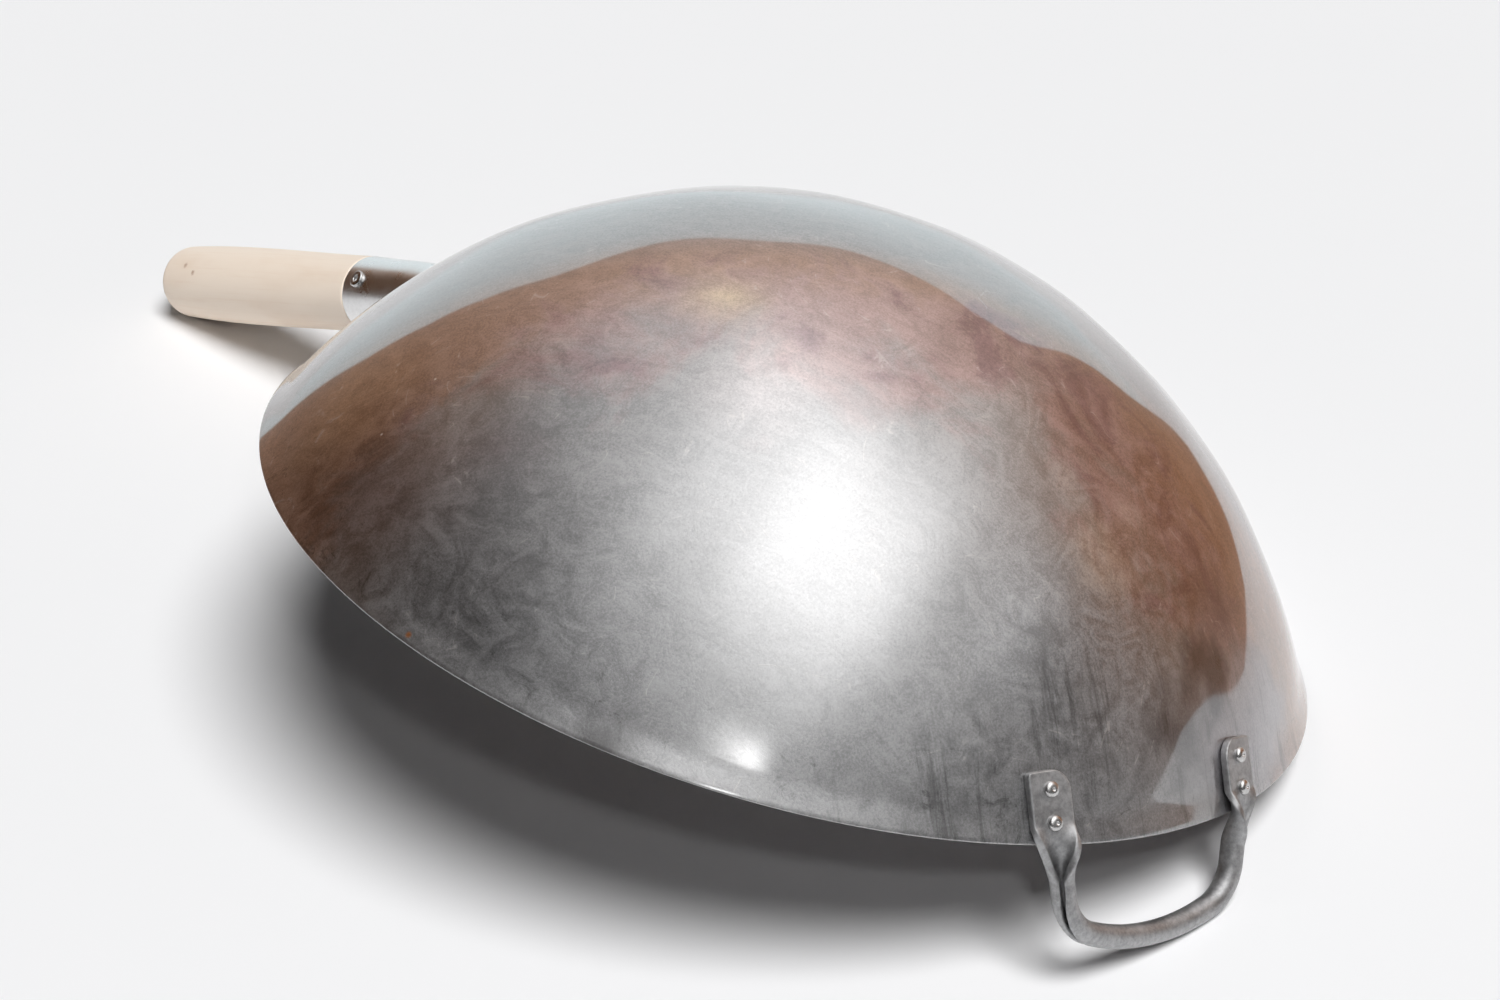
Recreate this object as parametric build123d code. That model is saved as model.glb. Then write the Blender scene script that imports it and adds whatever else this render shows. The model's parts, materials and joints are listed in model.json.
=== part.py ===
from build123d import *
import math
import os

os.makedirs("parts", exist_ok=True)

# Carbon steel wok with a wood grip on a riveted steel socket and a rolled helper handle.
# It is modelled upright, +Z up through the opening, the helper handle towards +X and the
# grip towards -X, with the origin under the middle of the bowl. It is then laid upside
# down on its grip, helper handle and rim. Lengths are in millimetres, angles in degrees.

# Bowl
rim_diameter = 356.0
bowl_depth = 111.3
bowl_wall = 1.6
flank_slope = 60.0
base_slope_share = 0.5
lip_width = 8.0
lip_flare = 5.0
lip_blend_radius = 16.0
rim_edge_radius = 0.45

# Helper handle: one strip, flat at its pads and rolled into a tube between them
strip_width = 14.4
strip_thickness = 2.6
pad_height = 22.0
pad_outer_corner_radius = 6.5
pad_inner_corner_radius = 1.2
pad_spacing = 81.0
bail_slope = 66.0
bail_offset = 1.3
bail_reach = 31.4
bail_bow_radius = 85.0
bail_bow_half_turn = 17.6
bail_corner_radius = 16.0
bail_leg_lean = 8.5
bail_roll_end = 3.4
leg_seam_gap = 1.12
corner_seam_gap = 0.43
leg_seam_turn = 48.0
corner_seam_turn = 95.0
tube_swell = 0.06

# Helper rivets
helper_rivet_radius = 1.6
helper_head_radius = 2.5
helper_head_height = 1.7
helper_tail_radius = 2.9
helper_tail_height = 0.9
helper_rivet_upper_drop = 16.4
helper_rivet_lower_drop = 6.6

# Long handle
handle_slope = 23.2
mouth_reach = 74.1
mouth_rise = 28.9
socket_mouth_radius = 14.7
socket_root_radius = 13.4
socket_wall = 1.5
socket_straight_length = 36.0
tenon_length = 32.0
tenon_clearance = 0.1
neck_shoulder_advance = 8.0
neck_shoulder_half_width = 13.5
neck_shoulder_half_height = 12.6
neck_mid_half_width = 15.2
neck_mid_half_height = 9.2
neck_rim_half_width = 18.0
neck_rim_half_height = 3.4
neck_foot_half_width = 19.0
neck_foot_half_height = 1.5
neck_mid_advance = 24.0
neck_rim_slope = 44.0
neck_rim_gap = 1.2
neck_foot_drop = 14.0
tang_thickness = 2.4
tang_top_drop = 3.5
tang_height = 50.0
tang_top_width = 44.0
tang_tip_width = 26.0
tang_corner_radius = 7.0

# Rivet outlines, as shares of a head's or tail's radius and height
head_profile_share = ((1.0, 0.3), (0.74, 0.82), (0.3, 1.0), (0.0, 0.7))
tail_profile_share = ((1.0, 0.35), (0.6, 1.0), (0.0, 1.0))

# Tang rivets
tang_rivet_radius = 2.2
tang_head_radius = 4.2
tang_head_height = 2.2
tang_tail_radius = 4.0
tang_tail_height = 1.2
tang_rivet_upper_drop = 20.0
tang_rivet_lower_drop = 42.0
tang_rivet_spacing = 26.0

# Grip
grip_length = 138.0
grip_middle_radius = 15.6
grip_middle_share = 0.45
grip_swell_radius = 16.1
grip_swell_share = 0.8
grip_end_round = 9.0
grip_end_crown = 2.0
grip_end_radius = 15.8
grip_end_turn = 75.0

# Grip rivet, tubular, right through socket and tenon
eyelet_mouth_gap = 8.1
eyelet_turn = 26.6
eyelet_radius = 2.0
eyelet_bore_radius = 1.0
eyelet_head_radius = 3.3
eyelet_head_height = 1.2
eyelet_lip_bevel = 0.4

# Fits and cuts
rivet_clearance = 0.05
rivet_seat_gap = 0.1
cut_overrun = 6.0
roll_sides = 8
roll_stations = 6
corner_stations = 6
support_samples = 24
first_lean = -0.25
lean_step = 0.001
lean_rounds = 8

rim_radius = rim_diameter / 2
base_slope = flank_slope * base_slope_share
lip_slope = flank_slope - lip_flare


def sin(angle):
    return math.sin(math.radians(angle))


def cos(angle):
    return math.cos(math.radians(angle))


def tan(angle):
    return math.tan(math.radians(angle))


# The wall is a base arc, a flank arc, a reversed blend and a straight lip. Its two large
# radii follow from the rim radius and the depth.
flank_end_radius = rim_radius - lip_blend_radius * (sin(flank_slope) - sin(lip_slope)) - lip_width * cos(lip_slope)
flank_end_height = bowl_depth - lip_blend_radius * (cos(lip_slope) - cos(flank_slope)) - lip_width * sin(lip_slope)
flank_run = sin(flank_slope) - sin(base_slope)
flank_rise = cos(base_slope) - cos(flank_slope)
wall_determinant = sin(base_slope) * flank_rise - (1 - cos(base_slope)) * flank_run
base_radius = (flank_end_radius * flank_rise - flank_end_height * flank_run) / wall_determinant
flank_radius = (flank_end_height * sin(base_slope) - flank_end_radius * (1 - cos(base_slope))) / wall_determinant


def wall_curve(offset):
    """The wall's meridian, moved outwards by offset, from the axis to the rim plane."""
    base = JernArc((0, -offset), (1, 0), base_radius + offset, base_slope)
    flank = JernArc(base @ 1, base % 1, flank_radius + offset, flank_slope - base_slope)
    blend = JernArc(flank @ 1, flank % 1, lip_blend_radius - offset, -lip_flare)
    lip = Line(blend @ 1, blend @ 1 + (blend % 1) * (lip_width + offset / tan(lip_slope)))
    return [base, flank, blend, lip]


def turned(face):
    """A solid of revolution about the bowl's axis from a face drawn in radius and height."""
    return revolve(Plane.XZ * face, Axis.Z)


def wall_shell(inner_offset, outer_offset):
    """The face between two copies of the meridian."""
    outer = wall_curve(outer_offset)
    inner = wall_curve(inner_offset)
    rim_line = Line(outer[-1] @ 1, inner[-1] @ 1)
    axis_line = Line(inner[0] @ 0, outer[0] @ 0)
    return make_face(Curve() + outer + inner + [rim_line, axis_line])


def wall_envelope(offset):
    """Everything inside the wall's meridian moved outwards by offset, up to the rim plane."""
    outer = wall_curve(offset)
    rim_point = outer[-1] @ 1
    top_line = Line(rim_point, (0, rim_point.Y))
    axis_line = Line(top_line @ 1, outer[0] @ 0)
    return turned(make_face(Curve() + outer + [top_line, axis_line]))


def wall_place(drop):
    """Radius, height and slope of the outer wall at a distance below the rim, along the wall."""
    blend_length = lip_blend_radius * math.radians(lip_flare)
    if drop <= lip_width:
        back = drop
        slope = lip_slope
        return rim_radius - back * cos(slope), bowl_depth - back * sin(slope), slope
    if drop <= lip_width + blend_length:
        slope = lip_slope + math.degrees((drop - lip_width) / lip_blend_radius)
        radius = flank_end_radius + lip_blend_radius * (sin(flank_slope) - sin(slope))
        height = flank_end_height + lip_blend_radius * (cos(slope) - cos(flank_slope))
        return radius, height, slope
    slope = flank_slope - math.degrees((drop - lip_width - blend_length) / flank_radius)
    radius = flank_end_radius - flank_radius * (sin(flank_slope) - sin(slope))
    height = flank_end_height - flank_radius * (cos(slope) - cos(flank_slope))
    return radius, height, slope


def sheet_section():
    """The pressed sheet's section, with its two rim corners softened."""
    section = wall_shell(-bowl_wall, 0)
    return fillet(section.vertices().sort_by(Axis.Y)[-2:], rim_edge_radius)


bowl_section = sheet_section()
rim_outline = bowl_section.edges().sort_by(Axis.Y)[-3:]
outer_envelope = wall_envelope(0)


# Helper handle

full_turn = 360.0
quarter_turn = 90.0
rolled_radius = (strip_width + leg_seam_gap) / math.radians(full_turn)
leg_curl = full_turn - math.degrees(leg_seam_gap / rolled_radius)
corner_curl = full_turn - math.degrees(corner_seam_gap / rolled_radius)
tube_radius = rolled_radius + strip_thickness / 2
bail_normal = Vector(sin(bail_slope), 0, -cos(bail_slope))
pad_flat_end = helper_rivet_lower_drop - helper_head_radius
pad_middle_drop = (pad_height + pad_flat_end) / 2
pad_azimuth = math.degrees(math.asin(pad_spacing / 2 / wall_place(pad_middle_drop)[0]))
bail_rim_x = rim_radius * cos(pad_azimuth) + bail_offset


def wall_frame(drop, azimuth):
    """Point on the outer wall and its outward normal, at a drop below the rim."""
    radius, height, slope = wall_place(drop)
    point = Vector(radius * cos(azimuth), radius * sin(azimuth), height)
    normal = Vector(sin(slope) * cos(azimuth), sin(slope) * sin(azimuth), -cos(slope))
    return point, normal


def pad_frame():
    """The pad's middle on the wall, its up direction with no sideways part, and its normal."""
    top, _ = wall_frame(pad_height, pad_azimuth)
    low, _ = wall_frame(0, pad_azimuth)
    middle, _ = wall_frame(pad_middle_drop, pad_azimuth)
    chord = (low - top).normalized()
    side = Vector(-sin(pad_azimuth), cos(pad_azimuth), 0)
    normal = side.cross(chord).normalized()
    up = normal.cross(Vector(0, 1, 0)).normalized()
    return middle, up, normal


def bail_point(across, rise):
    """A point of the bail's centre plane, from its sideways place and its distance past the rim."""
    return Vector(bail_rim_x + rise * cos(bail_slope), across, bowl_depth + rise * sin(bail_slope))


def bail_direction(across, rise):
    """A direction in the bail's plane, from its sideways and rising parts."""
    return Vector(rise * cos(bail_slope), across, rise * sin(bail_slope))


def bail_corner():
    """Centre of the corner arc and the leg's upper end, as sideways place and rise."""
    inward = bail_bow_radius - bail_corner_radius
    centre_across = inward * sin(bail_bow_half_turn)
    centre_rise = bail_reach - bail_bow_radius + inward * cos(bail_bow_half_turn)
    leg_top_across = centre_across + bail_corner_radius * cos(bail_leg_lean)
    leg_top_rise = centre_rise + bail_corner_radius * sin(bail_leg_lean)
    return centre_across, centre_rise, leg_top_across, leg_top_rise


corner_across, corner_rise, leg_across, leg_rise = bail_corner()


def flat_section(middle, heading, facing):
    """The strip's section across heading where it is still a flat bar."""
    across = facing.cross(heading).normalized() * (strip_width / 2)
    front = heading.cross(across).normalized() * (strip_thickness / 2)
    corners = [middle - across - front, middle + across - front, middle + across + front, middle - across + front]
    return make_face(Polyline(*corners, close=True))


def rolled_section(middle, heading, facing, curl, radius):
    """The strip's section across heading, bent through curl about a centre towards facing.

    The middle of the strip's neutral line is at middle, at the given radius from the centre.
    """
    across = facing.cross(heading).normalized()
    front = heading.cross(across).normalized()
    centre = middle + front * radius
    angles = [curl * (step / roll_sides - 0.5) for step in range(roll_sides + 1)]

    def bent_edge(distance, turns):
        way = math.copysign(1, turns[-1])
        places = [across * (distance * sin(turn)) - front * (distance * cos(turn)) for turn in turns]
        ends = [(across * cos(turn) + front * sin(turn)) * way for turn in (turns[0], turns[-1])]
        return Spline(*[centre + place for place in places], tangents=ends, tangent_scalars=(1, 1))

    back = bent_edge(radius + strip_thickness / 2, angles)
    face = bent_edge(radius - strip_thickness / 2, angles[::-1])
    return make_face(Curve() + [back, Line(back @ 1, face @ 0), face, Line(face @ 1, back @ 0)])


def pad_neck():
    """Centre of the strip's section where the flat pad ends, with the pad's directions."""
    middle, up, normal = pad_frame()
    return middle + up * (pad_middle_drop - pad_flat_end) + normal * (strip_thickness / 2), up, normal


def seam_facing(swing, turn):
    """Direction from the rolled tube's back to its seam, turned from the front outwards."""
    outward = bail_direction(cos(swing), sin(swing))
    return bail_normal * cos(turn) + outward * sin(turn)


def make_leg():
    """The strip from the pad's flat end, rolled up along the leg and round the corner."""
    start, up, normal = pad_neck()
    leg_up = bail_direction(-sin(bail_leg_lean), cos(bail_leg_lean))
    leg_facing = seam_facing(bail_leg_lean, leg_seam_turn)
    leg_top = bail_point(leg_across, leg_rise)
    leg_length = (leg_rise - bail_roll_end) / cos(bail_leg_lean)
    end = leg_top - leg_up * leg_length - leg_facing * rolled_radius
    pull = (end - start).length / 3
    sections = [flat_section(start, up, normal)]
    for station in range(1, roll_stations):
        share = station / (roll_stations - 1)
        rest = 1 - share
        early = start * rest**3 + (start + up * pull) * (3 * rest**2 * share)
        late = (end - leg_up * pull) * (3 * rest * share**2) + end * share**3
        heading = (up * rest + leg_up * share).normalized()
        facing = (normal * rest + leg_facing * share).normalized()
        curl = leg_curl * share
        sections.append(rolled_section(early + late, heading, facing, curl, strip_width / math.radians(curl)))
    half_way = leg_top - leg_up * (leg_length / 2) - leg_facing * rolled_radius
    sections.append(rolled_section(half_way, leg_up, leg_facing, leg_curl, rolled_radius))
    for station in range(corner_stations + 1):
        share = station / corner_stations
        swing = bail_leg_lean + (quarter_turn - bail_bow_half_turn - bail_leg_lean) * share
        facing = seam_facing(swing, leg_seam_turn + (corner_seam_turn - leg_seam_turn) * share)
        spread = corner_across + bail_corner_radius * cos(swing)
        climb = corner_rise + bail_corner_radius * sin(swing)
        back = bail_point(spread, climb) - facing * rolled_radius
        heading = bail_direction(-sin(swing), cos(swing))
        curl = leg_curl + (corner_curl - leg_curl) * share
        sections.append(rolled_section(back, heading, facing, curl, rolled_radius))
    return loft(sections)


def corner_cut(radius):
    """What rounds a corner at the local origin, whose sides run along -X and +Y."""
    arc = CenterArc((-radius, radius), radius, -quarter_turn, quarter_turn)
    outside = Polyline(arc @ 1, (cut_overrun, radius), (cut_overrun, -cut_overrun), (-radius, -cut_overrun), arc @ 0)
    return extrude(make_face(Curve() + [arc, *outside.edges()]), strip_thickness + cut_overrun, both=True)


def make_helper_side():
    """One side of the handle: the rolled leg, and the flat pad behind its first face."""
    start, up, normal = pad_neck()
    pad_length = pad_height - pad_flat_end
    leg = make_leg()
    pad = extrude(leg.faces().sort_by_distance(start)[0], pad_length, dir=up * -1)
    for sign, radius in ((1, pad_outer_corner_radius), (-1, pad_inner_corner_radius)):
        corner = start - up * pad_length + Vector(0, sign * strip_width / 2, 0)
        pad -= Plane(corner, x_dir=Vector(0, sign, 0), z_dir=normal * sign) * corner_cut(radius)
    return (leg + pad) - outer_envelope


def make_bow():
    """The closed tube across the end of the bail, on its large bow arc."""
    end_across = bail_bow_radius * sin(bail_bow_half_turn)
    end_rise = bail_reach - bail_bow_radius * (1 - cos(bail_bow_half_turn))
    heading = bail_direction(-cos(bail_bow_half_turn), sin(bail_bow_half_turn))
    end_plane = Plane(bail_point(end_across, end_rise), x_dir=bail_normal, z_dir=heading)
    bow_axis = Axis(bail_point(0, bail_reach - bail_bow_radius), bail_normal)
    return revolve(end_plane * Circle(tube_radius + tube_swell), bow_axis, 2 * bail_bow_half_turn)


# Rivets

seat_align = (Align.CENTER, Align.CENTER, Align.MIN)


def turned_button(radius, height, profile_share):
    """A round button on the local XY plane, its outline given as shares of its size."""
    rising = [(radius * across, height * up) for across, up in profile_share]
    return revolve(Plane.XZ * make_face(Polyline((0, 0), (radius, 0), *rising, close=True)), Axis.Z)


def rivet_hole(place, radius, depth):
    """The cut for a shank, through the sheets behind a place and a little in front."""
    hole = Cylinder(radius + rivet_clearance, depth + 2 * cut_overrun)
    return place * Pos(0, 0, -depth / 2) * hole


def tail_place(drop, azimuth):
    """Plane of a rivet's tail on the wall's inner face, axis inwards, clear of its curve."""
    point, normal = wall_frame(drop, azimuth)
    return Plane(point - normal * (bowl_wall + rivet_seat_gap), z_dir=normal * -1)


def make_rivet(place, tail_plane, shank, head, tail):
    """A rivet in one piece: dimpled head in front of place, shank, and a tail upset inside."""
    shank_radius, shank_length = shank
    shank_rod = Pos(0, 0, -shank_length) * Cylinder(shank_radius, shank_length, align=seat_align)
    return place * (turned_button(*head, head_profile_share) + shank_rod) + tail_plane * turned_button(
        *tail, tail_profile_share
    )


def helper_rivet_places():
    """Name, drop and plane of each rivet of the left pad, on its outer face, axis outwards."""
    middle, up, normal = pad_frame()
    rows = {"upper": helper_rivet_upper_drop, "lower": helper_rivet_lower_drop}
    return [
        (row, drop, Plane(middle + up * (pad_middle_drop - drop) + normal * strip_thickness, x_dir=up, z_dir=normal))
        for row, drop in rows.items()
    ]


def tang_rivet_places():
    """Name, drop, azimuth and plane of each tang rivet, on the tang's outer face, axis outwards."""
    layout = {
        "left": (tang_rivet_upper_drop, tang_rivet_spacing / 2),
        "right": (tang_rivet_upper_drop, -tang_rivet_spacing / 2),
        "tip": (tang_rivet_lower_drop, 0),
    }
    places = []
    for side, (drop, across) in layout.items():
        azimuth = 180 + math.degrees(math.asin(across / wall_place(drop)[0]))
        point, normal = wall_frame(drop, azimuth)
        places.append((side, drop, azimuth, Plane(point + normal * tang_thickness, z_dir=normal)))
    return places


# Long handle: a socket with a pressed neck and a shield-shaped tang

handle_out = Vector(-cos(handle_slope), 0, sin(handle_slope))
handle_up = Vector(sin(handle_slope), 0, cos(handle_slope))
mouth = Vector(-rim_radius - mouth_reach, 0, bowl_depth + mouth_rise)


def neck_section(centre, slope, half_width, half_height):
    """An oval face across the neck, heading towards the bowl at a slope below level."""
    heading = Vector(cos(slope), 0, -sin(slope))
    return Plane(centre, x_dir=Vector(0, 1, 0), z_dir=heading) * Ellipse(half_width, half_height)


def neck_sections(wall):
    """The neck's oval faces from the socket's root to the wall, drawn in by a wall thickness."""
    root = mouth - handle_out * socket_straight_length
    shoulder = root - handle_out * neck_shoulder_advance
    middle = root - handle_out * neck_mid_advance
    rim_point, rim_normal = wall_frame(0, 180)
    rim_centre = rim_point + rim_normal * (neck_rim_half_height + neck_rim_gap)
    foot_point, foot_normal = wall_frame(neck_foot_drop, 180)
    foot_centre = foot_point + foot_normal * neck_foot_half_height
    foot_slope = wall_place(neck_foot_drop)[2]
    sections = [
        neck_section(root, handle_slope, socket_root_radius - wall, socket_root_radius - wall),
        neck_section(shoulder, handle_slope, neck_shoulder_half_width - wall, neck_shoulder_half_height - wall),
        neck_section(middle, handle_slope, neck_mid_half_width - wall, neck_mid_half_height - wall),
        neck_section(rim_centre, neck_rim_slope, neck_rim_half_width - wall, neck_rim_half_height - wall),
    ]
    if wall == 0:
        sections.append(neck_section(foot_centre, foot_slope, neck_foot_half_width, neck_foot_half_height))
    return sections


def socket_cone(wall):
    """The solid of the socket's straight part, drawn in by a wall thickness."""
    mouth_face = neck_section(mouth, handle_slope, socket_mouth_radius - wall, socket_mouth_radius - wall)
    root = mouth - handle_out * socket_straight_length
    root_face = neck_section(root, handle_slope, socket_root_radius - wall, socket_root_radius - wall)
    return loft([mouth_face, root_face], ruled=True)


def make_tang():
    """The shield plate that lies on the outside of the wall."""
    low, high = sorted((wall_place(tang_top_drop + tang_height)[1], wall_place(tang_top_drop)[1]))
    half_top = tang_top_width / 2
    half_tip = tang_tip_width / 2
    outline = Polyline((-half_top, high), (half_top, high), (half_tip, low), (-half_tip, low), close=True)
    shield = fillet(make_face(outline).vertices(), tang_corner_radius)
    block = extrude(Plane((0, 0, 0), x_dir=(0, -1, 0), z_dir=(-1, 0, 0)) * shield, rim_diameter)
    return block & turned(wall_shell(0, tang_thickness))


def make_socket():
    """Socket, neck and tang in one, hollow down to the pressed neck."""
    outer = socket_cone(0) + loft(neck_sections(0))
    inner = socket_cone(socket_wall) + loft(neck_sections(socket_wall))
    return (outer - outer_envelope - inner) + make_tang()


# Grip: turned wood with a tapered tenon inside the socket

def socket_radius(depth):
    """Outer radius of the socket's straight part at a depth behind its mouth."""
    return socket_mouth_radius + (socket_root_radius - socket_mouth_radius) * depth / socket_straight_length


def grip_side():
    """The grip's visible outline, as distance from the mouth and radius, to the end's middle."""
    round_start = grip_length - grip_end_crown - grip_end_round
    middle = (grip_length * grip_middle_share, grip_middle_radius)
    swell = (grip_length * grip_swell_share, grip_swell_radius)
    body = Spline((0, socket_mouth_radius), middle, swell, (round_start, grip_end_radius), tangents=((1, 0), (1, 0)))
    corner = JernArc(body @ 1, (1, 0), grip_end_round, -grip_end_turn)
    crown = Spline(corner @ 1, (grip_length, 0), tangents=(corner % 1, Vector(0, -1)))
    return [body, corner, crown]


def make_grip():
    """The grip about its own axis, with the tenon behind the mouth."""
    gap = socket_wall + tenon_clearance
    side = grip_side()
    tenon = Polyline(
        side[-1] @ 1,
        (-tenon_length, 0),
        (-tenon_length, socket_radius(tenon_length) - gap),
        (0, socket_mouth_radius - gap),
        side[0] @ 0,
    )
    face = make_face(Curve() + side + tenon.edges())
    return revolve(Plane(mouth, x_dir=handle_out, z_dir=Vector(0, -1, 0)) * face, Axis(mouth, handle_out))


# Grip rivet: a tube with two rolled heads, right through socket and tenon

def eyelet_place():
    """The grip rivet's plane, its axis crossing the handle's axis behind the mouth."""
    direction = Vector(0, 1, 0) * cos(eyelet_turn) - handle_up * sin(eyelet_turn)
    return Plane(mouth - handle_out * eyelet_mouth_gap, x_dir=handle_out, z_dir=direction)


def make_eyelet():
    """The tubular rivet with its bore and both rounded heads."""
    reach = socket_radius(eyelet_mouth_gap) + eyelet_head_height
    head_blank = Cylinder(eyelet_head_radius, 2 * reach)
    head_blank = chamfer(head_blank.edges().filter_by(GeomType.CIRCLE), eyelet_lip_bevel)
    place = eyelet_place()
    heads = place * head_blank - socket_cone(0)
    shank = place * Cylinder(eyelet_radius, 2 * socket_radius(eyelet_mouth_gap))
    return heads + shank - place * Cylinder(eyelet_bore_radius, 2 * (reach + cut_overrun))


# Pieces

bowl = turned(bowl_section)
helper_side = make_helper_side()
handle_socket = make_socket()
rivets = {}
helper_stack = strip_thickness + bowl_wall
helper_shank = (helper_rivet_radius, helper_stack + helper_tail_height / 2)
helper_head = (helper_head_radius, helper_head_height)
helper_tail = (helper_tail_radius, helper_tail_height)
for row, drop, place in helper_rivet_places():
    rivet = make_rivet(place, tail_place(drop, pad_azimuth), helper_shank, helper_head, helper_tail)
    hole = rivet_hole(place, helper_rivet_radius, helper_stack)
    helper_side -= hole
    bowl -= hole
    bowl -= mirror(hole, about=Plane.XZ)
    rivets[f"helper_rivet_left_{row}"] = rivet
    rivets[f"helper_rivet_right_{row}"] = mirror(rivet, about=Plane.XZ)
tang_stack = tang_thickness + bowl_wall
tang_shank = (tang_rivet_radius, tang_stack + tang_tail_height / 2)
tang_head = (tang_head_radius, tang_head_height)
tang_tail = (tang_tail_radius, tang_tail_height)
for side, drop, azimuth, place in tang_rivet_places():
    hole = rivet_hole(place, tang_rivet_radius, tang_stack)
    bowl -= hole
    handle_socket -= hole
    rivets[f"tang_rivet_{side}"] = make_rivet(place, tail_place(drop, azimuth), tang_shank, tang_head, tang_tail)
eyelet_hole = eyelet_place() * Cylinder(eyelet_radius + rivet_clearance, 2 * (socket_mouth_radius + cut_overrun))

pieces = {
    "bowl": bowl,
    "helper_handle": helper_side + mirror(helper_side, about=Plane.XZ) + make_bow(),
    "handle_socket": handle_socket - eyelet_hole,
    "grip": make_grip() - eyelet_hole,
    "grip_rivet": make_eyelet(),
    **rivets,
}

# Resting pose: upside down, on the grip's end, the helper handle's bow and the rim


def rim_height(down):
    """How far the rim reaches in a direction, from samples of its rounded edges."""
    samples = [edge @ (step / support_samples) for edge in rim_outline for step in range(support_samples + 1)]
    level = math.hypot(down.X, down.Y)
    return max(point.X * level + point.Y * down.Z for point in samples)


def grip_height(down):
    """How far the grip reaches in a direction, from samples of its outline."""
    samples = [edge @ (step / support_samples) for edge in grip_side() for step in range(support_samples + 1)]
    along = handle_out.dot(down)
    around = math.sqrt(1 - along**2)
    return mouth.dot(down) + max(point.X * along + point.Y * around for point in samples)


def bail_height(down):
    """How far the helper handle reaches in a direction, from samples of its bow and corners."""
    shares = [step / support_samples for step in range(support_samples + 1)]
    bow_centre = bail_reach - bail_bow_radius
    middles = [(0, bow_centre, bail_bow_radius, quarter_turn - bail_bow_half_turn * share) for share in shares]
    corner_turn = quarter_turn - bail_bow_half_turn
    middles += [(corner_across, corner_rise, bail_corner_radius, corner_turn * share) for share in shares]
    places = [
        bail_point(side * (across + radius * cos(swing)), rise + radius * sin(swing))
        for across, rise, radius, swing in middles
        for side in (-1, 1)
    ]
    return max(place.dot(down) for place in places) + tube_radius + tube_swell


def floor_direction():
    """The direction that points at the floor when grip, bow and rim all touch it."""

    def misfit(lean_x, lean_y):
        down = Vector(lean_x, lean_y, 1).normalized()
        rim = rim_height(down)
        return grip_height(down) - rim, bail_height(down) - rim

    lean_x, lean_y = 0.0, first_lean
    for _ in range(lean_rounds):
        grip_miss, bail_miss = misfit(lean_x, lean_y)
        grip_x, bail_x = misfit(lean_x + lean_step, lean_y)
        grip_y, bail_y = misfit(lean_x, lean_y + lean_step)
        a, b = (grip_x - grip_miss) / lean_step, (grip_y - grip_miss) / lean_step
        c, d = (bail_x - bail_miss) / lean_step, (bail_y - bail_miss) / lean_step
        determinant = a * d - b * c
        lean_x -= (d * grip_miss - b * bail_miss) / determinant
        lean_y -= (a * bail_miss - c * grip_miss) / determinant
    return Vector(lean_x, lean_y, 1).normalized()


down = floor_direction()
along = (Vector(1, 0, 0) - down * down.X).normalized()
laid = Plane((0, 0, 0), x_dir=along, z_dir=down * -1).location.inverse()
box = Compound(children=[laid * shape for shape in pieces.values()]).bounding_box()
shift = Pos(-(box.min.X + box.max.X) / 2, -(box.min.Y + box.max.Y) / 2, -box.min.Z)
for name, shape in pieces.items():
    export_step(shift * laid * shape, "parts/" + name + ".step")
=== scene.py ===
import json
import logging
import math
from collections.abc import Sequence
from dataclasses import dataclass
from enum import Enum
from typing import NamedTuple

import bmesh
import bpy
import numpy as np
from mathutils import Matrix, Vector


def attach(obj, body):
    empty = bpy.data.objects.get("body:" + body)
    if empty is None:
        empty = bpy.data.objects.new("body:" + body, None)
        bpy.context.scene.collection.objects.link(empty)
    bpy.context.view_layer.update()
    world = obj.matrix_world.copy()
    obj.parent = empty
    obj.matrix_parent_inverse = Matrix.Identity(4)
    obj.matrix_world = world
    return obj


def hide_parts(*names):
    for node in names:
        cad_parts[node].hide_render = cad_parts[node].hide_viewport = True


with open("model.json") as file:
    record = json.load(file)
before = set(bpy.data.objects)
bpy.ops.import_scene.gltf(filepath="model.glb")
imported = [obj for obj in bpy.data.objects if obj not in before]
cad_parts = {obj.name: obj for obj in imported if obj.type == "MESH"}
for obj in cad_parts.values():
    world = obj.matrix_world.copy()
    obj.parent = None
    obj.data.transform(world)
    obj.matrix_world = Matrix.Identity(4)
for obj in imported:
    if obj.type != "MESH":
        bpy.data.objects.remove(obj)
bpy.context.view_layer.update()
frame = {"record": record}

# A carbon steel wok, laid upside down. Lengths are in metres and angles in degrees. Shapes are worked out
# upright, +Z up through the bowl's opening and the helper handle towards +X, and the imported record's mounts
# give the place where the upright frame lies. A drop is a distance below the rim along the outer wall.

Socket = bpy.types.NodeSocket
Value = Socket | float | tuple[float, ...]
Bump = tuple[Socket, float, float]
Triple = tuple[float, float, float]
Pair = tuple[float, float]

LOG = logging.getLogger("wok")

# Points nearer than WELD_REACH are one point, and an edge shorter than EMPTY_EDGE goes. SEAT_GAP keeps pieces
# that touch from sharing a face. OFF_AXIS is a direction that no rivet has. The DISPLAY values are those of
# the standard curve of displays.
WELD_REACH = 1e-6
EMPTY_EDGE = 1e-7
QUARTER_TURN = 90.0
HALF_TURN = 180.0
FULL_TURN = 360.0
SEAT_GAP = 0.00002
SIDEWAYS = np.array([0.0, 1.0, 0.0])
OFF_AXIS = np.array([0.3, 0.5, 0.81])
MIDDLE_GREY = (0.5, 0.5, 0.5)
DISPLAY_TOP = 255.0
DISPLAY_LINE_END = 0.04045
DISPLAY_LINE_SLOPE = 12.92
DISPLAY_OFFSET = 0.055
DISPLAY_POWER = 2.4


def sin(angle: np.ndarray | float) -> np.ndarray:
    """Sine of an angle in degrees."""
    return np.sin(np.radians(angle))


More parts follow.
